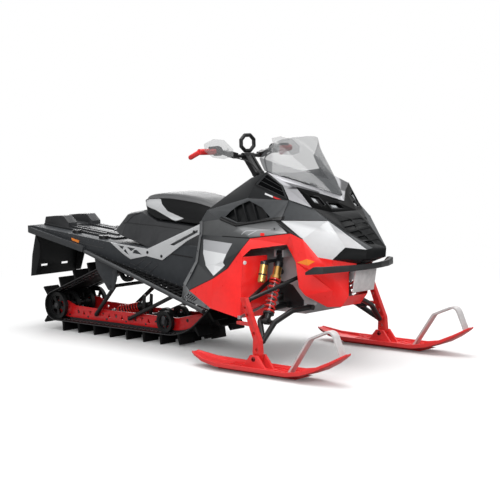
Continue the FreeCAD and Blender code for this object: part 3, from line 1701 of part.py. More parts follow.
def shocks():
    """Shock bodies between their eyes, with springs and reservoirs."""
    along = shock_top.sub(shock_low).normalize()
    length = shock_top.sub(shock_low).Length
    pieces = [Part.makeCylinder(17, length, shock_low, along)]
    pieces.append(Part.makeCylinder(22, 300, shock_low.add(vec(*along).multiply(46)), along))
    pieces.append(coil_sleeve(shock_low.add(vec(*along).multiply(50)), along, 205, 32, 8, 7))
    for at in (46, 255):
        pieces.append(Part.makeCylinder(30, 7, shock_low.add(vec(*along).multiply(at)), along))
    neck = between(shock_low, shock_top, 0.9)
    reservoir_top = neck.add(vec(-2, 117, -1))
    reservoir_low = between(shock_low, shock_top, 0.575).add(vec(-23, 86, 0))
    pieces.append(rod(reservoir_top, reservoir_low, 22))
    pieces.append(flat_bar(neck, between(reservoir_top, reservoir_low, 0.15), 20, 16))
    for eye in (shock_low, shock_top):
        pieces.append(rod(eye.sub(vec(15, 0, 0)), eye.add(vec(15, 0, 0)), shock_eye_radius))
    solid = joined(pieces)
    for eye in (shock_low, shock_top):
        solid = solid.cut(rod(eye.sub(vec(60, 0, 0)), eye.add(vec(60, 0, 0)), shock_pin_radius + shaft_gap))
    return pair(solid)


def tie_rods():
    """Tie rods to the spindles' arms, joined by the drag link inside the bulkhead."""
    eye = rod(tie_rod_outer.sub(vec(0, 0, 9)), tie_rod_outer.add(vec(0, 0, 9)), 12)
    middle = vec(tie_rod_inner.x, 0, tie_rod_inner.z)
    half = [eye, rod(tie_rod_inner, tie_rod_outer, tie_rod_radius)]
    half.append(rod(middle, tie_rod_inner, drag_link_radius))
    return [joined(half + [mirrored(s) for s in half])]


# Skis

ski_flat_rear = ski_rear_x + 236
ski_flat_front = ski_tip_x - 361
ski_stations = [ski_rear_x + d for d in (0, 36, 116, 236, 396)]
ski_stations += [ski_tip_x - d for d in (551, 361, 261, 171, 91, 31, 0)]


def ski_base_z(x):
    """Height of the running face above the floor: raised at the tail, curved up at the tip."""
    if x < ski_flat_rear:
        return keel_depth + 45 * ((ski_flat_rear - x) / (ski_flat_rear - ski_rear_x)) ** 2
    if x > ski_flat_front:
        return keel_depth + 138 * ((x - ski_flat_front) / (ski_tip_x - ski_flat_front)) ** 1.7
    return keel_depth


def ski_half_at(x):
    """Half width of the ski."""
    rear = min(1.0, (x - ski_rear_x + 22) / 250.0) ** 0.5
    front = min(1.0, (ski_tip_x - x + 16) / 260.0) ** 0.55
    return ski_half_width * rear * front


def ski():
    """Plastic ski with raised edges, a keel, and the saddle that holds the pivot bolt."""
    wires = []
    for x in ski_stations:
        half = ski_half_at(x)
        z = ski_base_z(x)
        rim = min(26.0, 8 + half * 0.22)
        lip = min(10.0, half * 0.3)
        ring = [
            (-half, z + 4),
            (-half, z + rim),
            (-half + lip, z + rim),
            (-half + lip + 3, z + ski_wall + 3),
            (half - lip - 3, z + ski_wall + 3),
            (half - lip, z + rim),
            (half, z + rim),
            (half, z + 4),
            (half * 0.7, z),
            (-half * 0.7, z),
        ]
        corners = [vec(x, stance_half + y, h) for y, h in ring]
        wires.append(Part.makePolygon(corners + corners[:1]))
    hull = Part.makeLoft(wires, True, True)
    outline = [
        (ski_flat_rear - 80, keel_depth + 2),
        (ski_flat_rear - 40, 0),
        (ski_flat_front + 10, 0),
        (ski_flat_front + 110, keel_depth + 10),
    ]
    keel = side_plate(outline, stance_half - 14, stance_half + 14)
    saddles = []
    for side in (-1, 1):
        saddle = [
            (ski_bolt_x - 90, keel_depth + 6),
            (ski_bolt_x - 26, ski_bolt_z + 20),
            (ski_bolt_x + 26, ski_bolt_z + 20),
            (ski_bolt_x + 90, keel_depth + 6),
        ]
        y = stance_half + side * 30
        saddles.append(side_plate(saddle, y - 6, y + 6))
    bolt_ends = [vec(ski_bolt_x, stance_half + d, ski_bolt_z) for d in (-44, 44)]
    bolt = rod(bolt_ends[0], bolt_ends[1], ski_bolt_radius)
    ribs = []
    floor = keel_depth + ski_wall
    for x in (680, 716, 752, 1004, 1040, 1076):
        ribs.append(box(x, x + 12, stance_half - 52, stance_half + 52, floor, floor + 9))
    for side in (-1, 1):
        y = stance_half + side * 54
        ribs.append(box(660, 1145, y - 4, y + 4, floor, floor + 13))
    return joined([hull, keel, bolt] + saddles + ribs)


def ski_loop():
    """Pale handle loop on the left ski, seated on its floor."""
    knots = ((-407, 10), (-249, 222), (-96, 282), (-23, 120))
    route = [vec(ski_tip_x + x, stance_half, z) for x, z in knots]
    floor = [(x, ski_base_z(x) + ski_wall + 3 + seat_gap) for x in ski_stations]
    under = side_plate([(ski_rear_x, -90), *floor, (ski_tip_x, -90)], stance_half - 40, stance_half + 40)
    along = route[1].sub(route[0]).normalize()
    thick = along.cross(vec(0, 1, 0)).multiply(6)
    wide = vec(0, 15, 0)
    start = route[0]
    upper = [start.add(thick).add(wide), start.add(thick).sub(wide)]
    corners = upper + [start.sub(thick).sub(wide), start.sub(thick).add(wide)]
    ring = Part.makePolygon(corners + corners[:1])
    return bent_path(route, 40).makePipeShell([ring], True, False).cut(under)


save("track", [track()])
save("running_wheels", idler_wheels() + road_wheels() + top_wheels())
save("axles", idler_axle() + road_axles() + top_axle() + drive_shaft())
save("rails", rails())
save("slide_shoes", slide_shoes())
save("skid_arms", rear_arm() + front_arm())
save("skid_shocks", skid_shocks())
save("tunnel", tunnel())
save("running_boards", running_boards())
save("rear_bumper", rear_bumper())
save("snow_flap", snow_flap())
save("tail_housing", tail_housing())
save("tail_lamp", tail_lamp())
save("reflectors", reflectors())
save("cargo_anchors", cargo_anchors())
save("side_plates", side_plates())
save("storage_box", storage_box())
save("seat", seat())
save("side_panels", side_panels())
save("knee_frames", knee_frames() + toe_guards())
save("red_panels", red_panels())
save("shoulder_panels", shoulder_panels())
save("cheek_panels", cheek_panels())
save("vent_panels", vent_panels())
save("side_vents", vent_louvres() + side_windows())
save("console", console())
save("hood_sides", hood_sides())
save("brow_trim", brow_trim())
save("headlamps", headlamps())
save("lamp_lenses", lamp_lenses())
save("nose", nose())
save("chin_panel", chin_panel())
save("windshield", windshield())
save("engine", engine())
save("bulkhead", bulkhead())
save("front_bumper", front_bumper())
save("skid_plate", skid_plate())
save("steering_post", steering_post())
save("handlebar", handlebar())
save("grips", grips())
save("grab_loop", grab_loop())
save("hand_guards", hand_guards())
save("controls", controls())
save("cables", cables())
save("wishbones", upper_arms() + lower_arms())
save("shocks", shocks())
save("tie_rods", tie_rods())
for piece, shape in (("spindle", spindle()), ("ski", ski()), ("ski_loop", ski_loop())):
    save(piece + "_left", [shape])
    save(piece + "_right", [mirrored(shape)])
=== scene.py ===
import math

import bmesh
import bpy
import numpy as np
from mathutils import Matrix, Vector
from mathutils.bvhtree import BVHTree


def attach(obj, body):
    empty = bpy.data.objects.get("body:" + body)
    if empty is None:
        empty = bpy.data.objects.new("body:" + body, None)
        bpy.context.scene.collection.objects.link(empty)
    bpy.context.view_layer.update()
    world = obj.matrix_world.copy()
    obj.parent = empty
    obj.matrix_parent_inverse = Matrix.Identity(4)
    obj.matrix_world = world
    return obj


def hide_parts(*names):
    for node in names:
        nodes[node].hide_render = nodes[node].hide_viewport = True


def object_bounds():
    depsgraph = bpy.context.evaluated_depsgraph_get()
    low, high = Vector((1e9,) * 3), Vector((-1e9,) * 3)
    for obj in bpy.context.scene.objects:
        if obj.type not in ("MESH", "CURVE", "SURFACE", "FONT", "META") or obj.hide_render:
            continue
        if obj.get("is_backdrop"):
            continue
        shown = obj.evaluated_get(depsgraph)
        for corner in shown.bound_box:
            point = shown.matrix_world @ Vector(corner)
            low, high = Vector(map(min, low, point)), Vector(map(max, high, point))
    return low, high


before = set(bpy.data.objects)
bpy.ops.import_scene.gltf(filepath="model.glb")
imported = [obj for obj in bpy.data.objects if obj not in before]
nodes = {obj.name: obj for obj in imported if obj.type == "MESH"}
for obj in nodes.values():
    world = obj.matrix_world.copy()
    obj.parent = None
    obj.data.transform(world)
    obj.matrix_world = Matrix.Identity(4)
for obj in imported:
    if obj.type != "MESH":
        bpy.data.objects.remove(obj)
cad_low, cad_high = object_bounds()

# Camera
# A long lens from the front right, a little above the skis, tipped down five and a half degrees
# and rolled by one and a half.
eye = Vector((5.954, -5.843, 1.378))
look = Vector((-0.6899, 0.7173, -0.0972)).normalized()
tilted_right = Vector((0.7220, 0.6914, -0.0245))
camera_up = tilted_right.cross(look).normalized()
camera_right = look.cross(camera_up).normalized()
lens_length, sensor_width = 100.8, 36.0
camera = bpy.data.objects.new("camera", bpy.data.cameras.new("camera"))
camera.data.lens = lens_length
camera.data.sensor_width = sensor_width
facing = Matrix((camera_right, camera_up, -look)).transposed()
camera.matrix_world = Matrix.Translation(eye) @ facing.to_4x4()
bpy.context.scene.collection.objects.link(camera)
bpy.context.scene.camera = camera


# Studio
# A white floor that fades into a white room, one broad soft box overhead and one at each side.
# The camera sees a pale floor, while the machine's underside gets the light of a grey one.
def new_mesh(name, corners, faces):
    """Mesh object at the origin from an (n, 3) array of corners and rows of corner numbers."""
    mesh = bpy.data.meshes.new(name)
    mesh.from_pydata(np.asarray(corners, float).tolist(), [], faces)
    mesh.update()
    made = bpy.data.objects.new(name, mesh)
    bpy.context.scene.collection.objects.link(made)
    return made


def feed(shade, inputs):
    """Sets inputs of a shading step, each to a value or from the socket that drives it."""
    for name, value in dict(inputs).items():
        if isinstance(value, bpy.types.NodeSocket):
            shade.id_data.links.new(value, shade.inputs[name])
        else:
            shade.inputs[name].default_value = value


def shade_step(tree, kind, inputs=(), **settings):
    """New step of a kind in a material, with its settings first and then its inputs."""
    made = tree.nodes.new("ShaderNode" + kind)
    for name, value in settings.items():
        setattr(made, name, value)
    feed(made, inputs)
    return made.outputs


floor_reach, floor_drop = 60.0, 0.0005
fade_start, fade_end = 2.2, 4.5
floor_grey, floor_pale, floor_glow = (0.33, 0.33, 0.33, 1), (0.7, 0.7, 0.7, 1), 0.06
floor_corners = np.array([(-1, -1, 0), (1, -1, 0), (1, 1, 0), (-1, 1, 0)]) * floor_reach
floor_corners[:, 2] = cad_low.z - floor_drop
floor = new_mesh("studio_floor", floor_corners, [(0, 1, 2, 3)])
floor_paint = bpy.data.materials.new("floor_paint")
floor_paint.use_nodes = True
tree = floor_paint.node_tree
tree.nodes.clear()
seen = shade_step(tree, "LightPath")["Is Camera Ray"]
place = shade_step(tree, "TexCoord")["Object"]
apart = shade_step(tree, "VectorMath", {0: place}, operation="LENGTH")["Value"]
distance = {"Value": apart, "From Min": fade_start, "From Max": fade_end}
fade = shade_step(tree, "MapRange", distance, interpolation_type="SMOOTHSTEP")["Result"]
tone = {"Factor": seen, "A": floor_grey, "B": floor_pale}
chalk_tone = shade_step(tree, "Mix", tone, data_type="RGBA")["Result"]
chalk = shade_step(tree, "BsdfDiffuse", {"Color": chalk_tone})[0]
lift_share = shade_step(tree, "Math", {0: seen, 1: floor_glow}, operation="MULTIPLY")[0]
lift = shade_step(tree, "Emission", {"Strength": lift_share})[0]
near = shade_step(tree, "AddShader", {0: chalk, 1: lift})[0]
far_share = shade_step(tree, "Math", {0: fade, 1: seen}, operation="MULTIPLY")[0]
far = shade_step(tree, "Emission")[0]
blend_floor = shade_step(tree, "MixShader", {0: far_share, 1: near, 2: far})[0]
shade_step(tree, "OutputMaterial", {"Surface": blend_floor})
floor.data.materials.append(floor_paint)
floor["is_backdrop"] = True

sky_start, sky_end = -0.1, 0.9
sky_low, sky_high, sky_seen = 0.20, 1.1, 1.0
room = bpy.data.worlds.new("white_room")
room.use_nodes = True
tree = room.node_tree
path = shade_step(tree, "LightPath")
rays = {0: path["Is Camera Ray"], 1: path["Is Transmission Ray"]}
seen = shade_step(tree, "Math", rays, operation="MAXIMUM")[0]
heading = shade_step(tree, "TexCoord")["Generated"]
height = shade_step(tree, "SeparateXYZ", {0: heading})["Z"]
dome = {"Value": height, "From Min": sky_start, "From Max": sky_end}
dome |= {"To Min": sky_low, "To Max": sky_high}
sky = shade_step(tree, "MapRange", dome, interpolation_type="SMOOTHSTEP")["Result"]
level = shade_step(tree, "MapRange", {"Value": seen, "To Min": sky, "To Max": sky_seen})["Result"]
feed(tree.nodes["Background"], {"Strength": level, "Color": (1, 1, 1, 1)})
bpy.context.scene.world = room
bpy.context.scene.view_settings.view_transform = "Standard"


def soft_box(name, where, aim, width, height, watts):
    """Rectangular area lamp that faces a point."""
    lamp = bpy.data.lights.new(name, "AREA")
    lamp.shape = "RECTANGLE"
    lamp.size, lamp.size_y, lamp.energy = width, height, watts
    held = bpy.data.objects.new(name, lamp)
    bpy.context.scene.collection.objects.link(held)
    held.location = where
    held.rotation_euler = (Vector(aim) - Vector(where)).to_track_quat("-Z", "Y").to_euler()


soft_box("overhead_box", (0.3, 0.2, 4.6), (0.2, 0, 0.5), 4.5, 3.0, 150)
soft_box("front_right_box", (4.2, -4.6, 2.8), (0.5, 0, 0.5), 3.0, 2.2, 185)
soft_box("rear_left_box", (-4.5, 4.0, 2.6), (0, 0, 0.6), 3.0, 2.0, 100)


# Track
# One endless belt of black rubber moulded over cords, with tall lugs to throw snow. Steel clips
# in two rows line its inside, where the sliders run.
tone_stops, tone_detail = (0.3, 0.7), 6.0
pit_detail, pit_strength, coat_rough = 2.0, 0.6, 0.12


def finish(name, colour, rough, metal=0.0, coat=0.0, tint=0.1, grain=40.0, pits=700.0,
           depth=0.0001, spread=0.06, shine=0.5):
    """Material whose colour drifts with slow noise between colour * (1 - tint) and
    colour * (1 + tint), its roughness by the spread, and whose surface has fine pits."""
    made = bpy.data.materials.new(name)
    made.use_nodes = True
    made.diffuse_color = (*colour, 1)
    tree = made.node_tree
    where = shade_step(tree, "TexCoord")["Object"]
    slow = {"Vector": where, "Scale": grain, "Detail": tone_detail}
    drift = shade_step(tree, "TexNoise", slow)["Fac"]
    tones = shade_step(tree, "ValToRGB", {"Fac": drift})["Color"]
    stops = tones.node.color_ramp.elements
    for stop, position, share in zip(stops, tone_stops, (1 - tint, 1 + tint)):
        stop.position = position
        stop.color = (*[min(1.0, c * share) for c in colour], 1)
    rough_range = {"To Min": max(0.02, rough - spread), "To Max": min(1.0, rough + spread)}
    gloss = shade_step(tree, "MapRange", {"Value": drift, **rough_range})["Result"]
    fine = {"Vector": where, "Scale": pits, "Detail": pit_detail}
    pores = shade_step(tree, "TexNoise", fine)["Fac"]
    bump = shade_step(tree, "Bump", {"Height": pores, "Distance": depth, "Strength": pit_strength})
    feed(tree.nodes["Principled BSDF"], {
        "Base Color": tones, "Roughness": gloss, "Normal": bump["Normal"], "Metallic": metal,
        "Specular IOR Level": shine, "Coat Weight": coat, "Coat Roughness": coat_rough,
    })
    return made


def dress(material, *names):
    """Gives these CAD nodes the material."""
    for name in names:
        mesh = nodes[name].data
        mesh.materials.clear()
        mesh.materials.append(material)


def round_edges(made, width, segments=2):
    """Rounds the edges of an object at its folds."""
    rounding = made.modifiers.new("rounding", "BEVEL")
    rounding.width, rounding.segments = width, segments
    rounding.limit_method = "ANGLE"
    rounding.harden_normals = True
    return rounding


def at(*points):
    """Points given in millimetres, as an array in metres."""
    return np.array(points, float) / 1000


def skin_of(grid, closed=False):
    """Surface through rings of an (a, b, 3) grid P: each face joins P(i, j), P(i, j + 1),
    P(i + 1, j + 1) and P(i + 1, j). The last ring meets the first, or both have a cap."""
    a, b = grid.shape[:2]
    number = np.arange(a * b).reshape(a, b)
    rows = np.vstack([number, number[:1]]) if closed else number
    rows = np.hstack([rows, rows[:, :1]])
    quads = np.stack([rows[:-1, :-1], rows[:-1, 1:], rows[1:, 1:], rows[1:, :-1]], -1)
    caps = [] if closed else [number[:1, ::-1], number[-1:]]
    return grid.reshape(-1, 3), [quads.reshape(-1, 4), *caps]


def swept(path, radius, lay, sides=10, closed=False):
    """Round tube along a path: P = path + radius (side cos t + over sin t), where side is the
    lay direction made square to the path and over is square to both."""
    path = np.asarray(path, float)
    if closed:
        ahead = np.roll(path, -1, 0) - np.roll(path, 1, 0)
    else:
        ahead = np.gradient(path, axis=0)
    ahead /= np.linalg.norm(ahead, axis=1, keepdims=True)
    lay = np.broadcast_to(np.asarray(lay, float), path.shape)
    side = lay - (lay * ahead).sum(1, keepdims=True) * ahead
    side /= np.linalg.norm(side, axis=1, keepdims=True)
    over = np.cross(ahead, side)
    angle = np.linspace(0, 2 * np.pi, sides, endpoint=False)[:, None]
    spokes = np.cos(angle) * side[:, None] + np.sin(angle) * over[:, None]
    return skin_of(path[:, None] + radius * spokes, closed=closed)


def plate(outline, low, high):
    """Flat plate: P = outline + low and outline + high, for an (n, 3) outline."""
    return skin_of(np.stack([outline + low, outline + high]))


def both(*shapes):
    """Shapes of one side and their mirror images, with y changed to -y."""
    mirrored = [(corners * (1, -1, 1), [rows[:, ::-1] for rows in sheets])
                for corners, sheets in shapes]
    return [*shapes, *mirrored]


def piece(name, shapes, material, body="chassis", smooth=30, width=0.0):
    """One object from several shapes, faces outwards, that rides on a body."""
    corners, faces, start = [], [], 0
    for points, sheets in shapes:
        for rows in sheets:
            faces += (rows + start).tolist()
        corners.append(points)
        start += len(points)
    made = new_mesh(name, np.concatenate(corners), faces)
    turn = bmesh.new()
    turn.from_mesh(made.data)
    bmesh.ops.recalc_face_normals(turn, faces=turn.faces)
    turn.to_mesh(made.data)
    turn.free()
    made.data.materials.append(material)
    made.data.shade_smooth()
    made.data.set_sharp_from_angle(angle=math.radians(smooth))
    if width:
        round_edges(made, width)
    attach(made, body)
    return made


track_rubber = finish(
    "track_rubber", (0.003, 0.003, 0.0033), 0.6, tint=0.35, depth=0.0004, shine=0.2)
steel_clip = finish("steel_clip", (0.3, 0.3, 0.31), 0.4, metal=1.0)
edge_line = finish("edge_line", (0.045, 0.045, 0.047), 0.55)
dress(track_rubber, "track")
belt_circles = np.array(
    [(-1260.0, 159, 89), (-190, 490, 420), (245, 412, 85), (-620, 420, 70)])
arc_points = 30


def walked(line):
    """Distance gone along a line of straight runs at each of its points."""
    return np.concatenate([[0], np.cumsum(np.linalg.norm(np.diff(line, axis=0), axis=1))])


def belt_line(offset, y, step):
    """Closed path at an offset outside the belt's inner face, with even steps: an arc of each
    circle, C + (R + offset) (cos t, sin t), from one common tangent to the next."""
    after = np.roll(belt_circles, -1, 0)
    span = after - belt_circles
    heading = np.arctan2(span[:, 1], span[:, 0])
    heading += np.arcsin((belt_circles[:, 2] - after[:, 2]) / np.hypot(span[:, 0], span[:, 1]))
    begins = np.roll(heading, 1) - np.pi / 2
    turn = np.mod(heading - np.pi / 2 - begins, 2 * np.pi)
    angle = begins[:, None] + turn[:, None] * np.linspace(0, 1, arc_points)
    radius = (belt_circles[:, 2:] + offset)[..., None]
    arcs = belt_circles[:, None, :2] + radius * np.stack([np.cos(angle), np.sin(angle)], -1)
    line = arcs.reshape(-1, 2)
    line = np.vstack([line, line[:1]])
    gone = walked(line)
    even = np.linspace(0, gone[-1], int(gone[-1] / step), endpoint=False)
    x, z = np.interp(even, gone, line[:, 0]), np.interp(even, gone, line[:, 1])
    return np.stack([x, np.full_like(x, y), z], -1) / 1000


edge_path, edge_radius = belt_line(offset=4, y=-199.5, step=18), 0.0022
edge = swept(edge_path, edge_radius, (0, 1, 0), sides=6, closed=True)
piece("belt_edges", both(edge), edge_line)
clip_half_width, clip_half_height = 0.011, 0.0016
middle = belt_line(offset=-1, y=0, step=38)
ahead = np.roll(middle, -1, 0) - middle
ahead /= np.linalg.norm(ahead, axis=1, keepdims=True)
inwards = np.cross(ahead, (0, 1, 0)) * -clip_half_height
clips = []
for low, high in ((-168, -146), (-110, -92)):
    corners = [middle + s * clip_half_width * ahead + at((0, y, 0))
               for s, y in ((-1, low), (1, low), (1, high), (-1, high))]
    clips += [plate(outline, -rise, rise) for outline, rise in zip(np.stack(corners, 1), inwards)]
piece("track_clips", both(*clips), steel_clip)

# Skid
# Red anodised rails with dark sliders, steel arms, and moulded wheels with rubber treads. The
# two shocks in the middle are black bodies inside red springs.
merge_gap, nearly_parallel = 0.00002, 0.8
flat_angle, fold_angle = math.radians(1.5), math.radians(12)


def softened(material, *names, width=0.0015, segments=2, body="chassis"):
    """Copies of CAD nodes with flat faces joined up and edges rounded, shown in their place."""
    for name in names:
        copy = bmesh.new()
        copy.from_mesh(nodes[name].data)
        bmesh.ops.remove_doubles(copy, verts=copy.verts, dist=merge_gap)
        bmesh.ops.dissolve_limit(copy, angle_limit=flat_angle, verts=copy.verts, edges=copy.edges)
        mesh = bpy.data.meshes.new(name + "_skin")
        copy.to_mesh(mesh)
        copy.free()
        made = bpy.data.objects.new(name + "_skin", mesh)
        bpy.context.scene.collection.objects.link(made)
        mesh.materials.append(material)
        mesh.shade_smooth()
        round_edges(made, width, segments).angle_limit = fold_angle
        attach(made, body)
        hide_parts(name)


def square_to(start, end, lay):
    """Direction from start to end, and two square to it: along x lay (or X), along x side."""
    along = (end - start) / np.linalg.norm(end - start)
    shared = abs(along @ np.array(lay, float))
    side = np.cross(along, lay if shared < nearly_parallel else (1, 0, 0))
    side /= np.linalg.norm(side)
    return along, side, np.cross(along, side)


def turned(start, end, profile, sides=28):
    """Surface of revolution round a line, from a profile of distance d and radius r in
    millimetres: P = start + d along + r (side cos t + over sin t). A profile that ends where
    it starts makes a ring."""
    along, side, over = square_to(start, end, (0, 0, 1))
    angle = np.linspace(0, 2 * np.pi, sides, endpoint=False)[:, None]
    spokes = np.cos(angle) * side + np.sin(angle) * over
    profile = at(*profile)
    is_ring = bool((profile[0] == profile[-1]).all())
    profile = profile[:-1, None] if is_ring else profile[:, None]
    return skin_of(start + profile[..., :1] * along + profile[..., 1:] * spokes, closed=is_ring)


def tube(start, end, low, high, bore, radius, sides=28):
    """Short tube round a line, with its ends' distances along it and its radii."""
    outline = [(low, bore), (low, radius), (high, radius), (high, bore), (low, bore)]
    return turned(start, end, outline, sides)


def studs(places, ways, profile, sides):
    """The same turned head at each place, along its way out."""
    ways = np.broadcast_to(np.asarray(ways, float), np.shape(places))
    return [turned(place, place + way, profile, sides) for place, way in zip(places, ways)]


def bolts(places, way, radius, height):
    """Hexagon heads on washers, in millimetres."""
    rim, low = radius * 1.35, 0.3 * height
    washer = [(-1, 0.1), (-1, rim), (0.25 * height, rim), (low, radius * 1.2), (low, 0.1)]
    head = [(0, 0.1), (0, radius), (0.85 * height, radius), (height, 0.85 * radius), (height, 0.1)]
    return studs(places, way, washer, 16) + studs(places, way, head, 6)


rail_red = finish("rail_red", (0.60, 0.010, 0.012), 0.34, coat=0.2, tint=0.12)
slider_dark = finish("slider_dark", (0.012, 0.012, 0.013), 0.5)
wheel_plastic = finish("wheel_plastic", (0.006, 0.0065, 0.007), 0.42, shine=0.35)
arm_coat = finish("arm_coat", (0.010, 0.0105, 0.011), 0.38, shine=0.4)
turned_steel = finish("turned_steel", (0.5, 0.5, 0.52), 0.3, metal=1.0, tint=0.05)
dark_steel = finish("dark_steel", (0.09, 0.09, 0.095), 0.38, metal=0.9)
shock_black = finish("shock_black", (0.008, 0.008, 0.009), 0.32)
spring_red = finish("spring_red", (0.62, 0.02, 0.016), 0.28, coat=0.4)
softened(rail_red, "rails", width=0.0008)
dress(slider_dark, "slide_shoes")
dress(wheel_plastic, "running_wheels")
dress(arm_coat, "skid_arms")
dress(dark_steel, "axles")
steps_a_turn = 22
eye_bore, eye_radius, eye_length = 9, 19, 30
bore, rod_radius, barrel_radius, seat_radius, coil_radius, wire_radius = 8, 7, 22, 31, 26.5, 4


def spring(start, end, radius, wire, turns, low, high, sides):
    """Coil spring round a line, in millimetres: the wire follows P = start + d along +
    radius (side cos t + over sin t), where d rises from low to high, slowly at both ends."""
    along, side, over = square_to(start, end, (0, 1, 0))
    share = np.linspace(0, 1, turns * steps_a_turn + 1)
    flat, start_rise = 0.8 / turns, 0.25 / turns
    rise = np.interp(share, (0, flat, 1 - flat, 1), (0, start_rise, 1 - start_rise, 1))
    angle = 2 * np.pi * turns * share[:, None]
    path = start + ((low + (high - low) * rise) / 1000)[:, None] * along
    path = path + radius / 1000 * (np.cos(angle) * side + np.sin(angle) * over)
    return swept(path, wire / 1000, along, sides)


def shock_eye(end, way, sides=28):
    """Eye of a shock, centred on its end, with its bore along a way."""
    half = np.array(way, float) * eye_length / 2000
    return tube(end - half, end + half, 0, eye_length, eye_bore, eye_radius, sides)


def coil_shock(name, low, high, coil_low, coil_high, turns, body_low):
    """Shock between two points: steel rod, black body, spring seats and eyes, and a red coil."""
    low, high = at(low, high)
    reach = np.linalg.norm(high - low) * 1000
    rod = [(0, 0.1), (0, rod_radius), (reach, rod_radius), (reach, 0.1)]
    seat_low = [(coil_low - 14, bore), (coil_low - 14, 20), (coil_low - 5, seat_radius),
                (coil_low, seat_radius), (coil_low, bore)]
    seat_high = [(coil_high, bore), (coil_high, seat_radius), (coil_high + 5, seat_radius),
                 (coil_high + 9, 24), (coil_high + 30, 17), (coil_high + 30, bore)]
    barrel = [(body_low, bore), (body_low, barrel_radius - 1), (body_low + 3, barrel_radius),
              (coil_high + 4, barrel_radius), (coil_high + 4, bore)]
    blacks = [turned(low, high, profile) for profile in (seat_low, seat_high, barrel)]
    blacks += [shock_eye(end, (0, 1, 0)) for end in (low, high)]
    coil_start, coil_end = coil_low + wire_radius, coil_high - wire_radius
    coil = spring(low, high, coil_radius, wire_radius, turns, coil_start, coil_end, sides=8)
    piece(name + "_spring", [coil], spring_red)
    body = piece(name + "_body", blacks, shock_black)
    piece(name + "_rod", [turned(low, high, rod)], turned_steel)
    return body


rear_body = coil_shock("rear_skid_shock", (-900, 0, 123.5), (-572, 0, 195), 60, 270, 9, 110)
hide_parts("skid_shocks")
coil_shock("front_skid_shock", (-70, 0, 153.5), (-60, 0, 330), 46, 140, 5, 70)
cap = [(-2, 0.1), (-2, 16), (4, 16), (6, 13), (6, 0.1)]
hubs = at((-1260, -179, 159), (-230, -179, 159))
piece("wheel_caps", both(*studs(hubs, (0, -1, 0), cap, 24)), dark_steel)
rail_bolts = at(*[(x, -134.5, 100 + 24 * (n % 2)) for n, x in enumerate(range(-1180, -260, 92))])
piece("rail_bolts", both(*bolts(rail_bolts, (0, -1, 0), 5, 4)), dark_steel)


# Tunnel and boards
# Folded aluminium sheet with a dark coat, riveted along its edges; the boards are open lattices of
# the same alloy inside a tube. The tail carries a moulded housing, four luggage sockets and a flap.
def laid(node, route):
    """Points on a node's right side under a route of x and z in millimetres, where a line along
    y first meets it, and the normals that point out there."""
    solid = bmesh.new()
    solid.from_mesh(nodes[node].data)
    skin = BVHTree.FromBMesh(solid)
    solid.free()
    spots, normals = [], []
    for x, z in route:
        spot, normal = skin.ray_cast(Vector((x / 1000, -2.0, z / 1000)), Vector((0, 1, 0)))[:2]
        if spot is None:
            raise ValueError(f"nothing of {node} lies behind {x}, {z}")
        spots.append(spot)
        normals.append(-normal if normal.y > 0 else normal)
    return np.array(spots, float), np.array(normals, float)


def resampled(line, marks):
    """Points of a line of straight runs at these distances along it, its own corners kept."""
    gone = walked(line)
    marks = np.unique(np.concatenate([marks, gone]))
    return np.stack([np.interp(marks, gone, column) for column in line.T], -1)


strip_step, least_marks = 12.0, 3


def strip(node, route, width, height):
    """Raised flat band on a node's right side over a route of x and z, in millimetres: its ring
    at each point S is S + side - rise, S + 0.8 side + rise, and the same with -side."""
    route = np.array(route, float)
    reach = walked(route)[-1]
    marks = np.linspace(0, reach, max(least_marks, int(reach / strip_step)))
    spots, normals = laid(node, resampled(route, marks))
    side = np.cross(normals, np.gradient(spots, axis=0))
    side *= width / 2000 / np.linalg.norm(side, axis=1, keepdims=True)
    rise = normals * height / 1000
    ring = [side - rise, 0.8 * side + rise, -0.8 * side + rise, -side - rise]
    return skin_of(spots[:, None] + np.stack(ring, 1))


def inside_patch(tree, corners, fade, front):
    """Socket that is 1 inside a convex outline of x and z in millimetres, or of y and z as seen
    from the front, on both sides of the machine: the least of the depths inside its edges."""
    spot = shade_step(tree, "TexCoord")["Object"]
    if front:
        spot = shade_step(tree, "VectorMath", {0: spot}, operation="ABSOLUTE")[0]
    corners = np.array(corners, float) / 1000
    after = np.roll(corners, -1, 0)
    area = np.sum(corners[:, 0] * after[:, 1] - after[:, 0] * corners[:, 1])
    normals = np.stack([corners[:, 1] - after[:, 1], after[:, 0] - corners[:, 0]], -1)
    normals *= np.sign(area) / np.linalg.norm(normals, axis=1, keepdims=True)
    inner = 1.0
    for (across, up), edge in zip(normals, (normals * corners).sum(1)):
        way = (0, across, up) if front else (across, 0, up)
        rise = shade_step(tree, "VectorMath", {0: spot, 1: way}, operation="DOT_PRODUCT")["Value"]
        depth = shade_step(tree, "Math", {0: rise, 1: edge}, operation="SUBTRACT")[0]
        inner = shade_step(tree, "Math", {0: inner, 1: depth}, operation="MINIMUM")[0]
    border = {"Value": inner, "From Min": -fade, "From Max": fade}
    return shade_step(tree, "MapRange", border)["Result"]


def decal_and_painted_shade(material, colour, *outlines, fade=0.0008, front=False):
    """Changes the base colour inside convex outlines in millimetres, for decals and for painted
    shade.
    """
    tree = material.node_tree
    entry = tree.nodes["Principled BSDF"].inputs["Base Color"]
    for corners in outlines:
        inside = inside_patch(tree, corners, fade, front)
        tones = {"Factor": inside, "A": entry.links[0].from_socket, "B": (*colour, 1)}
        mixed = shade_step(tree, "Mix", tones, data_type="RGBA")["Result"]
        tree.links.new(mixed, entry)


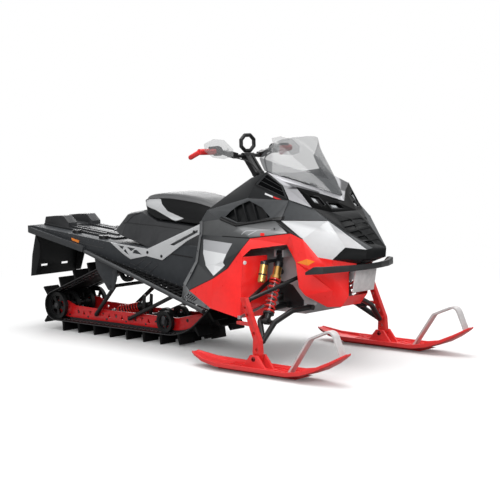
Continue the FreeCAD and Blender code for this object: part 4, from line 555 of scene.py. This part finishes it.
tunnel_coat = finish("tunnel_coat", (0.032, 0.035, 0.039), 0.42, shine=0.35)
board_coat = finish("board_coat", (0.004, 0.004, 0.0045), 0.45, shine=0.3)
rail_coat = finish("rail_coat", (0.035, 0.037, 0.04), 0.4)
black_plastic = finish("black_plastic", (0.008, 0.008, 0.009), 0.42, shine=0.4)
tail_plastic = finish("tail_plastic", (0.02, 0.021, 0.023), 0.45, shine=0.4)
flap_rubber = finish("flap_rubber", (0.004, 0.0045, 0.005), 0.5, shine=0.3)
amber_lens = finish("amber_lens", (0.9, 0.24, 0.01), 0.2, coat=0.6, tint=0.05)
red_lens = finish("red_lens", (0.4, 0.008, 0.008), 0.15, coat=0.6)
plate_silver = finish("plate_silver", (0.66, 0.67, 0.68), 0.4, metal=0.4, tint=0.04, grain=12.0)
softened(tunnel_coat, "tunnel", width=0.001)
dress(board_coat, "running_boards")
softened(rail_coat, "rear_bumper", width=0.003)
dress(black_plastic, "cargo_anchors")
softened(tail_plastic, "tail_housing", width=0.003)
softened(flap_rubber, "snow_flap", width=0.001)
dress(amber_lens, "reflectors")
dress(red_lens, "tail_lamp")
rail_ends = at((-866, -246.3, 538.6), (406, -461.4, 286.8))
piece("board_rails", both(swept(rail_ends, 0.0125, (0, 0, 1), 16)), rail_coat)
top_slope, foot_slope = 0.0948, 0.197
rivets = [(x, -235, 664 - top_slope * (x + 1410)) for x in range(-1370, -650, 48)]
rivets += [(x, -235, 499 - foot_slope * (x + 641)) for x in range(-830, 180, 52)]
dome = [(-1, 0.1), (-1, 5), (0.4, 5), (1.8, 3.4), (2.4, 1.4), (2.5, 0.1)]
piece("tunnel_rivets", both(*studs(at(*rivets), (0, -1, 0), dome, 12)), dark_steel)
ribs = [strip("tunnel", line, width=9, height=2.2) for line in (
    [(-455, 486), (-405, 474), (-318, 524)],
    [(-392, 470), (-342, 456), (-262, 508)],
    [(-330, 452), (-282, 440), (-205, 492)],
    [(-1360, 632), (-700, 566)],
)]
piece("tunnel_ribs", both(*ribs), rail_coat)
slot = strip("tunnel", [(-88, 562), (98, 550)], width=10, height=0.8)
piece("tunnel_slots", both(slot), black_plastic)
softened(plate_silver, "side_plates", width=0.001)
plate_bolts = at((-288, -241.3, 562), (-165, -241.3, 545), (120, -241.3, 702))
piece("plate_bolts", both(*bolts(plate_bolts, (0, -1, 0), 7, 6)), shock_black)

# Seat and storage box
# The seat is foam under stretched vinyl: a grey top panel and black sides, sewn together with a
# piped seam, and a white flash on the rear of each side. The box under it is moulded.
box_plastic = finish("box_plastic", (0.020, 0.021, 0.023), 0.46, shine=0.4)
seat_grey = finish("seat_grey", (0.04, 0.041, 0.043), 0.5, pits=1800.0, depth=0.0003)
seat_black = finish("seat_black", (0.005, 0.0055, 0.006), 0.5, pits=1800.0, depth=0.0003, shine=0.3)
seat_piping = finish("seat_piping", (0.01, 0.01, 0.011), 0.45)
decal_and_painted_shade(
    seat_black, (0.62, 0.63, 0.64),
    [(-445, 852), (-445, 905), (-247, 878), (-235, 850), (-295, 812), (-361, 827)],
    [(-235, 850), (-187, 807), (-214, 780), (-295, 812)],
    [(-187, 807), (-56, 768), (-128, 749), (-214, 780)],
)
softened(box_plastic, "storage_box", width=0.006, segments=3)
lid_line = strip(
    "storage_box", [(-585, 722), (-545, 728), (-300, 718), (-60, 704)], width=5, height=1.6)
lid_corner = strip("storage_box", [(-545, 731), (-500, 772), (-440, 788)], width=4, height=1.6)
piece("storage_lid_lines", both(lid_line, lid_corner), black_plastic)


def eased(rows, count):
    """Smooth curve through rows of values, resampled to a count. Between rows S and E, with B
    before and A after them, it is half of 2 S + (E - B) f + (2 B - 5 S + 4 E - A) f f +
    (3 S - B - 3 E + A) f f f."""
    rows = np.asarray(rows, float)
    t = np.linspace(0, len(rows) - 1, count)
    i = np.minimum(t.astype(int), len(rows) - 2)
    f = (t - i).reshape(-1, *[1] * (rows.ndim - 1))
    before, start, end, after = (rows[np.clip(i + k, 0, len(rows) - 1)] for k in (-1, 0, 1, 2))
    bow = (2 * before - 5 * start + 4 * end - after) * f * f
    turn = (3 * start - before - 3 * end + after) * f * f * f
    return 0.5 * (2 * start + (end - before) * f + bow + turn)


# Each row is a cross section: x, then half width and height of the crown, the seam and the foot.
seat_rows = eased([
    (-424, 88, 874, 116, 853, 108, 812),
    (-375, 118, 896, 153, 872, 142, 790),
    (-290, 120, 909, 157, 881, 151, 757),
    (-180, 118, 911, 157, 883, 152, 749),
    (-60, 110, 902, 149, 874, 151, 742),
    (60, 99, 884, 138, 858, 149, 734),
    (130, 91, 865, 126, 841, 144, 729),
    (200, 78, 840, 110, 818, 136, 735),
    (248, 66, 813, 94, 797, 124, 741),
], 64)
x, crown_y, crown, edge_y, edge, foot_y, foot = seat_rows.T
profile_half = np.stack([
    (0 * x, crown + 4),
    (0.45 * crown_y, crown + 3.5),
    (crown_y, crown),
    (0.4 * crown_y + 0.6 * edge_y, 0.45 * crown + 0.55 * edge),
    (edge_y, edge),
    (edge_y - 1.0, edge - 2.5),
    (0.6 * edge_y + 0.4 * foot_y + 5, 0.62 * edge + 0.38 * foot),
    (foot_y + 3, 0.22 * edge + 0.78 * foot),
    (foot_y - 2, foot + 3),
    (0.5 * foot_y, foot + 1),
    (0 * x, foot + 1),
]).transpose(0, 2, 1)
half = eased(profile_half, 61)
sections = np.concatenate([half, half[-2:0:-1] * (-1, 1)]).transpose(1, 0, 2)
ring_count = sections.shape[1]
stations = np.broadcast_to(x[:, None, None], (*sections.shape[:2], 1))
rings = np.concatenate([stations, sections], -1)
# Both ends close with rings that shrink to these shares of the last, at these distances past it.
closing = np.array([(0.0, 13), (0.35, 12.5), (0.7, 10), (0.88, 6.5), (0.96, 3)])
share, past = closing[:, :1, None], closing[:, 1:, None] * (1, 0, 0)
core = rings.mean(1)
rear = core[0] + (rings[0] - core[0]) * share - past
front = (core[-1] + (rings[-1] - core[-1]) * share + past)[::-1]
cushion_grid = np.concatenate([rear, rings, front]) / 1000
cushion = piece("seat_cushion", [skin_of(cushion_grid)], seat_grey, smooth=60)
cushion.data.materials.append(seat_black)
seam_column = 24
column = np.tile(np.arange(ring_count), len(cushion_grid) - 1)
slots = np.ones(len(cushion.data.polygons), np.int32)
slots[:len(column)] = (column >= seam_column) & (column < ring_count - seam_column)
cushion.data.polygons.foreach_set("material_index", slots)
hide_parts("seat")
seam = cushion_grid[3:-3, seam_column] + (0, 0.0006, 0.0004)
piece("seat_piping", both(swept(seam, 0.0022, (0, 0, 1), 8)), seat_piping)

# Bodywork
# Thin moulded panels, screwed and clipped along their folds: dark grey sides with a bare two-tone
# patch, grey knee frames and shoulders, red lower panels and belly, white cheeks. Gloss is low
# except on the red and white. A black rubber bead closes the joints; one black bead along the
# shoulder's foot is a painted shadow. The shoulder's foot, the cheek's top and the brow carry
# painted shade.
panel_dark = finish("panel_dark", (0.022, 0.024, 0.026), 0.42, shine=0.4)
knee_grey = finish("knee_grey", (0.10, 0.103, 0.107), 0.42, tint=0.05)
shoulder_grey = finish("shoulder_grey", (0.10, 0.104, 0.106), 0.38, metal=0.3, tint=0.06)
body_red = finish("body_red", (0.93, 0.018, 0.016), 0.3, coat=0.35, tint=0.03)
body_white = finish("body_white", (0.71, 0.72, 0.73), 0.3, coat=0.4, tint=0.02)
hood_dark = finish("hood_dark", (0.040, 0.043, 0.046), 0.4, shine=0.4)
brow_silver = finish("brow_silver", (0.46, 0.46, 0.48), 0.36, metal=0.35, tint=0.03)
vent_black = finish("vent_black", (0.005, 0.0055, 0.006), 0.35, shine=0.2)
console_black = finish("console_black", (0.010, 0.011, 0.012), 0.45, shine=0.2)
bead_black = finish("bead_black", (0.004, 0.004, 0.0045), 0.45, shine=0.3)
pin_white = finish("pin_white", (0.7, 0.7, 0.7), 0.35)
patch_grey, patch_white, ink_black = (0.34, 0.345, 0.36), (0.62, 0.63, 0.64), (0.003, 0.003, 0.0035)
decal_and_painted_shade(panel_dark, patch_grey, [(243, 668), (545, 664), (516, 606), (262, 612)])
decal_and_painted_shade(
    panel_dark, patch_white,
    [(262, 612), (516, 606), (502, 557), (326, 528), (268, 590)],
    [(502, 557), (520, 545), (450, 485), (326, 528)],
)
# On the shoulder: its lighter face and front, the dark fold, painted shade along its foot, and a
# bare graphic.
decal_and_painted_shade(
    shoulder_grey, (0.24, 0.245, 0.25),
    [(560, 735), (600, 760), (835, 775), (940, 745), (900, 722), (700, 716)],
    fade=0.016,
)
decal_and_painted_shade(
    shoulder_grey, (0.50, 0.505, 0.51), [(840, 738), (870, 757), (960, 730), (920, 722)],
    fade=0.012,
)
decal_and_painted_shade(shoulder_grey, ink_black, [(796, 806), (850, 806), (990, 700), (950, 700)], fade=0.002)
# Painted shade: a dark band along the shoulder's foot, on the line of the painted shadow bead below
# it.
decal_and_painted_shade(
    shoulder_grey, (0.03, 0.031, 0.033),
    [(430, 695), (520, 722), (760, 712), (940, 728), (940, 700), (700, 690)],
    fade=0.006,
)
decal_and_painted_shade(
    shoulder_grey, (0.42, 0.43, 0.44),
    [(596, 716), (624, 737), (630, 735), (603, 714)],
    [(624, 737), (700, 743), (700, 739), (630, 734)],
    [(652, 716), (700, 743), (706, 741), (660, 715)],
    [(700, 743), (790, 748), (790, 744), (706, 740)],
)
decal_and_painted_shade(console_black, (0.62, 0.62, 0.63), [(691, 941), (752, 924), (752, 916), (691, 932)])
decal_and_painted_shade(console_black, (0.55, 0.02, 0.02), [(756, 923), (814, 908), (814, 900), (756, 915)])
# Painted shade: a grey band along the white cheek's top facet.
decal_and_painted_shade(
    body_white, (0.50, 0.51, 0.52),
    [(850, 797), (1100, 797), (1180, 724), (1100, 738), (980, 765)],
    fade=0.010,
)
decal_and_painted_shade(
    hood_dark, ink_black,
    [(380, 785), (541, 752), (541, 775), (396, 805)],
    [(541, 752), (860, 800), (860, 820), (541, 775)],
)
# Painted shade: a dark patch on the silver brow beside the lamp's upper edge, drawn in y and z.
decal_and_painted_shade(
    brow_silver, (0.07, 0.07, 0.075), [(224, 1003), (229, 966), (116, 933), (88, 943)],
    fade=0.0025, front=True,
)
softened(panel_dark, "side_panels", width=0.0012)
softened(shoulder_grey, "shoulder_panels", width=0.0012)
softened(knee_grey, "knee_frames", width=0.0015)
softened(body_red, "red_panels", "chin_panel", width=0.0012)
softened(body_white, "cheek_panels", width=0.0012)
softened(hood_dark, "vent_panels", "hood_sides", width=0.0012)
softened(brow_silver, "brow_trim", width=0.0012)
softened(vent_black, "side_vents", width=0.0006)
softened(console_black, "console", width=0.0012)
bead_step, bead_lay = 0.02, (0.05, 0.3, 1)


def bead(radius, *route):
    """Round bead over fold points of the left side, in millimetres, and its mirror image."""
    line = at(*route)
    path = resampled(line, np.arange(0, walked(line)[-1], bead_step))
    return both(swept(path, radius / 1000, bead_lay, sides=8))


# The folds' points that several lines meet at.
vent_tip, shoulder_tip, window_foot = (843, 283, 797), (680, 356, 700), (869, 240, 905)
lamp_foot, lamp_rear = (998, 200, 863), (904, 222, 975)
lamp_brow, lamp_nose = (965, 120, 940), (1055, 0, 888)
beads = bead(6.0, (398, 300, 790), (541, 322, 760), (796, 302, 800), vent_tip)
beads += bead(4.5, (690, 222, 1057), (844, 122, 999), (1034, 1, 924))
beads += bead(1.4, (581, 262, 912), window_foot, vent_tip)
# Painted shadow: this black bead along the shoulder's foot stands for the shadow under the shoulder
# panel.
beads += bead(2.6, (430, 320, 697), shoulder_tip, (930, 300, 733), (975, 258, 700))
beads += bead(1.6, (254, 422, 390), (450, 425, 470), (545, 402, 530), (640, 396, 632), shoulder_tip)
beads += bead(2.0, (1090, 180, 797), vent_tip)
beads += bead(1.6, lamp_foot, (1142, 100, 735), (1295, 52, 650))
beads += bead(1.6, lamp_foot, window_foot)
piece("joint_beads_and_painted_shadow", beads, bead_black)
pin = [(-2, 0.1), (-2, 11), (1.5, 11), (3.5, 8), (3.5, 0.1)]
piece("panel_pins", both(*studs(*laid("red_panels", [(660, 566)]), pin, 20)), pin_white)
screw = [(-2, 0.1), (-2, 6), (0.6, 6), (2, 4.6), (2, 2.4), (0.8, 2.2), (0.8, 0.1)]
knee_screws = laid("knee_frames", [(200, 700), (202, 600), (205, 480), (415, 316), (222, 350)])
shoulder_screws = laid("shoulder_panels", [(815, 752)])
screws = studs(*knee_screws, screw, 16) + studs(*shoulder_screws, screw, 16)
piece("panel_screws", both(*screws), dark_steel)
clip_height, clip_sunk, clip_proud = 0.016, 0.002, 0.003
clip_foot, clip_ways = laid("shoulder_panels", [(742, 712), (768, 712)])
clip_outline = np.concatenate([clip_foot, clip_foot[::-1] + (0, 0, clip_height)])
clip = plate(clip_outline, -clip_sunk * clip_ways[0], clip_proud * clip_ways[0])
piece("panel_clips", both(clip), body_red, width=0.0008)


# Windows, lamps and nose
# The hood windows are gloss black inserts in a raised frame. The lamp housing is black with small
# LED projectors behind its covers, and the nose is a moulded grille.
def on_facet(corners, outline):
    """Points of an outline given in shares u, v of a facet with corners A, B, C, D, and its
    outward normal: P = N + (F - N) v, where N = A + (B - A) u and F = D + (C - D) u."""
    a, b, c, d = at(*corners)
    u, v = np.array(outline, float).T[:, :, None]
    near, far = a + (b - a) * u, d + (c - d) * u
    normal = np.cross(c - a, d - b)
    normal /= np.linalg.norm(normal)
    outwards = (a + b + c + d) / 4 - hood_core
    return near + (far - near) * v, normal if normal @ outwards > 0 else -normal


def facet_plate(corners, outline, low, high):
    """Plate on a facet between two heights in millimetres."""
    points, normal = on_facet(corners, outline)
    return plate(points, normal * low / 1000, normal * high / 1000)


def facet_rim(corners, outline, width, low, high):
    """Raised rim round an outline on a facet, between two heights; its inner edge is drawn in
    towards the middle by a share: Q = P + (mean - P) width."""
    points, normal = on_facet(corners, outline)
    low, high = normal * low / 1000, normal * high / 1000
    inner = points + (points.mean(0) - points) * width
    ring = [points + low, points + high, inner + high, inner + low]
    return skin_of(np.stack(ring, 1), closed=True)


def oblong(start, stop, rise=0.0):
    """Outline in shares from one corner to the other; its far side may lean along u."""
    (u, v), (u_end, v_end) = start, stop
    return [(u, v), (u_end, v), (u_end + rise, v_end), (u + rise, v_end)]


hood_core = (0.6, 0, 0.6)
gloss_black = finish(
    "gloss_black", (0.0015, 0.0015, 0.002), 0.2, spread=0.02, depth=0.00002, shine=0.08)
frame_black = finish("frame_black", (0.022, 0.023, 0.025), 0.35)
lamp_black = finish("lamp_black", (0.002, 0.0021, 0.0023), 0.3, shine=0.05)
nose_black = finish("nose_black", (0.005, 0.0055, 0.006), 0.36, shine=0.17)
led_chrome = finish("led_chrome", (0.16, 0.165, 0.17), 0.12, metal=1.0, tint=0.03)
led_glass = finish("led_glass", (0.26, 0.27, 0.28), 0.1, coat=0.8, tint=0.02)
window = [(600, 228, 985), (690, 222, 1055), (820, 236, 985), window_foot]
pane = facet_plate(window, oblong((0.06, 0.06), (0.94, 0.94)), -1, 4)
piece("window_glass", both(pane), gloss_black)
bars = [facet_rim(window, oblong((0.04, 0.04), (0.96, 0.96)), 0.13, -2, 6.5)]
bars += [facet_plate(window, oblong((u, 0.08), (u + 0.03, 0.92), 0.07), 3, 5) for u in (0.36, 0.66)]
piece("window_frames", both(*bars), frame_black, width=0.0008)
softened(lamp_black, "headlamps", width=0.001)
softened(nose_black, "nose", width=0.0012)
dress(gloss_black, "lamp_lenses")
lamp_high = [lamp_rear, lamp_brow, (1075, 130, 838), lamp_foot]
lamp_deep = [lamp_brow, lamp_nose, (1140, 0, 842), (1075, 130, 838)]


def lamp_blocks(scale, low, high):
    """Square blocks in the middle of the high and the deep beam's facets."""
    blocks = []
    for facet, (u, v), (du, dv) in (
        (lamp_high, (0.52, 0.50), (0.13, 0.13)), (lamp_deep, (0.30, 0.66), (0.12, 0.10)),
    ):
        du, dv = du * scale, dv * scale
        blocks.append(facet_plate(facet, oblong((u - du, v - dv), (u + du, v + dv)), low, high))
    return both(*blocks)


piece("lamp_bowls", lamp_blocks(1.0, -8, -3), led_chrome, width=0.001)
piece("lamp_leds", lamp_blocks(0.66, -3.5, -1.5), led_glass, width=0.001)
high_outline = [(0.30, 0.28), (0.90, 0.22), (0.97, 0.62), (0.62, 0.88), (0.32, 0.70)]
deep_outline = [(0.07, 0.46), (0.56, 0.44), (0.64, 0.82), (0.10, 0.84)]
high_rim = facet_rim(lamp_high, high_outline, 0.07, -1, 2.4)
deep_rim = facet_rim(lamp_deep, deep_outline, 0.08, -1, 2.0)
piece("lamp_rims", both(high_rim, deep_rim), frame_black, width=0.0006)
seams = bead(2.0, lamp_brow, lamp_nose) + bead(2.0, lamp_rear, lamp_brow)
piece("lamp_seams", seams, bead_black)

# Windshield
# Smoke-grey polycarbonate, blown to shape and darker where it meets the hood, with its lower edge
# held on the brow.
smoke_sheet = finish("smoke_sheet", (0.11, 0.115, 0.12), 0.06, spread=0.02, depth=0.0, tint=0.03)
band_lean, band_start, band_end = (0.387, 0, 1), 1.382, 1.388
cover_low, cover_high = 0.62, 0.30
tree = smoke_sheet.node_tree
where = shade_step(tree, "TexCoord")["Object"]
rise = shade_step(tree, "VectorMath", {0: where, 1: band_lean}, operation="DOT_PRODUCT")["Value"]
band = {"Value": rise, "From Min": band_start, "From Max": band_end}
band |= {"To Min": cover_low, "To Max": cover_high}
cover = shade_step(tree, "MapRange", band)["Result"]
feed(tree.nodes["Principled BSDF"], {"Alpha": cover})
dress(smoke_sheet, "windshield")

# Front frame and shocks
# Welded aluminium bulkhead, coated steel arms, a silver tow plate and a flat dark bumper. The
# shocks are gold bodies with a remote reservoir inside red springs.
cast_alloy = finish("cast_alloy", (0.42, 0.43, 0.44), 0.45, metal=0.5, tint=0.06)
plate_grey = finish("plate_grey", (0.62, 0.60, 0.60), 0.42, metal=0.2)
bumper_dark = finish("bumper_dark", (0.022, 0.023, 0.024), 0.42, shine=0.4)
steel_coat = finish("steel_coat", (0.006, 0.006, 0.0065), 0.32, shine=0.4)
gold_anodised = finish("gold_anodised", (0.62, 0.38, 0.12), 0.3, metal=1.0)
decal_and_painted_shade(
    cast_alloy, (0.012, 0.012, 0.013),
    [(690, 300), (690, 452), (800, 430), (880, 350), (880, 300)],
    fade=0.002,
)
softened(cast_alloy, "bulkhead", width=0.0015)
dress(cast_alloy, "engine")
softened(plate_grey, "skid_plate", width=0.0012)
softened(bumper_dark, "front_bumper", width=0.003)
dress(steel_coat, "wishbones")
dress(turned_steel, "tie_rods")
strut = at((842, 410, 262), (775, 215, 610))
reservoir_top, reservoir_foot, reservoir_port = at(
    (779.7, 351.5, 574.2), (780.5, 383.9, 462.1), (781.7, 234.5, 575.2))
reservoir = (reservoir_top, reservoir_foot)
mount_low = [(8, 8), (8, 16), (40, 19), (40, 31), (50, 31), (52, 12), (52, 8), (8, 8)]
mount_high = [(318, 10), (318, 24), (332, 28), (346, 28), (356, 22), (392, 17), (392, 10),
              (318, 10)]
reservoir_cap = [(-2, 0.1), (-2, 20), (1, 22.5), (16, 22.5), (16, 0.1)]
blacks = [turned(*strut, mount_low), turned(*strut, mount_high)]
blacks += [turned(*reservoir, reservoir_cap, 24), tube(*reservoir, 66, 74, 20, 23.4, 24)]
blacks.append(swept([reservoir_port, reservoir_top], 0.010, (1, 0, 0), 14))
blacks += [shock_eye(end, (1, 0, 0), 24) for end in strut]
collar = [(246, 8), (246, 31), (262, 31), (263, 22.5), (318, 22.5), (318, 8), (246, 8)]
can = [(14, 0.1), (14, 21.6), (108, 21.6), (114, 18), (115, 6), (115, 0.1)]
golds = [turned(*strut, collar), turned(*reservoir, can, 24)]
ring_width = 2.5
golds += [tube(*strut, low, low + ring_width, 20, 23.6) for low in range(266, 316, 5)]
rod = [(50, 0.1), (50, 8), (250, 8), (250, 0.1)]
coil = spring(*strut, 27.5, 5.2, 8, 54, 244, 9)
piece("front_shock_springs", both(coil), spring_red)
front_black = piece("front_shock_mounts", both(*blacks), shock_black)
piece("front_shock_bodies", both(*golds), gold_anodised)
piece("front_shock_rods", both(turned(*strut, rod)), turned_steel)
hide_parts("shocks")

# Steering
# A coated steel bar that rises to its ends with red rubber grips, milky hand guards, switch
# blocks, a stitched strap loop and held cables.
grip_rubber = finish("grip_rubber", (0.60, 0.022, 0.022), 0.5, pits=900.0, depth=0.0004)
strap_rubber = finish(
    "strap_rubber", (0.009, 0.009, 0.0095), 0.5, pits=1400.0, depth=0.0004, shine=0.35)
control_black = finish("control_black", (0.007, 0.007, 0.0075), 0.4, shine=0.4)
guard_milk = finish("guard_milk", (0.22, 0.222, 0.225), 0.3, tint=0.02, depth=0.00004)
guard_cover = 0.26
feed(guard_milk.node_tree.nodes["Principled BSDF"], {"Alpha": guard_cover})
softened(steel_coat, "steering_post", width=0.0015, body="steering")
dress(steel_coat, "handlebar")
dress(control_black, "controls")
softened(grip_rubber, "grips", width=0.002, body="steering")
dress(strap_rubber, "grab_loop", "cables")
softened(guard_milk, "hand_guards", width=0.0012, body="steering")
grip_start, grip_way = at((325.25, 260.03, 1166.72))[0], np.array((-0.0152, 0.9997, 0.0195))
rib_width = 2.5
ribs = [tube(grip_start, grip_start + grip_way, low, low + rib_width, 14, 17.4, 20)
        for low in range(8, 104, 6)]
piece("grip_ribs", both(*ribs), grip_rubber, body="steering")
button_head = [(-2, 0.1), (-2, 8), (5, 8), (7, 6), (7, 0.1)]
button = studs(at((309, -236, 1188)), (-0.616, 0, 0.788), button_head, 20)
piece("stop_button", button, body_red, body="steering")

# Spindles and skis
# Red coated steel spindles on ball joints, moulded red skis with a steel runner, and pale flat
# loops to lift them by. The loops are broader than their solids.
ski_red = finish("ski_red", (0.68, 0.03, 0.03), 0.4, tint=0.04, pits=500.0)
spindle_red = finish("spindle_red", (0.62, 0.016, 0.014), 0.32, coat=0.3)
loop_grey = finish("loop_grey", (0.52, 0.50, 0.50), 0.45)
loop_broader = 1.5
pivot_head = [(0, 0.1), (0, 13), (2, 13), (2, 9), (8, 9), (8, 0.1)]
for hand, side in (("left", 1), ("right", -1)):
    softened(spindle_red, "spindle_" + hand, width=0.0015, body="spindle_" + hand)
    softened(ski_red, "ski_" + hand, width=0.0018, body="ski_" + hand)
    softened(loop_grey, "ski_loop_" + hand, width=0.002, body="ski_" + hand)
    pivot = at((886, side * 531.5, 82))[0]
    loop = bpy.data.objects["ski_loop_" + hand + "_skin"].data
    spots = np.empty((len(loop.vertices), 3))
    loop.vertices.foreach_get("co", spots.ravel())
    spots[:, 1] = pivot[1] + (spots[:, 1] - pivot[1]) * loop_broader
    loop.vertices.foreach_set("co", spots.ravel())
    pivot_ends = pivot + at((0, -36, 0), (0, 36, 0))
    heads = studs(pivot_ends, [(0, -1, 0), (0, 1, 0)], pivot_head, 6)
    piece("ski_pivot_bolts_" + hand, heads, shock_black, body="ski_" + hand)

# Sizes
# The box of the finished model, measured as the CAD's box was after import.
low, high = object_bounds()
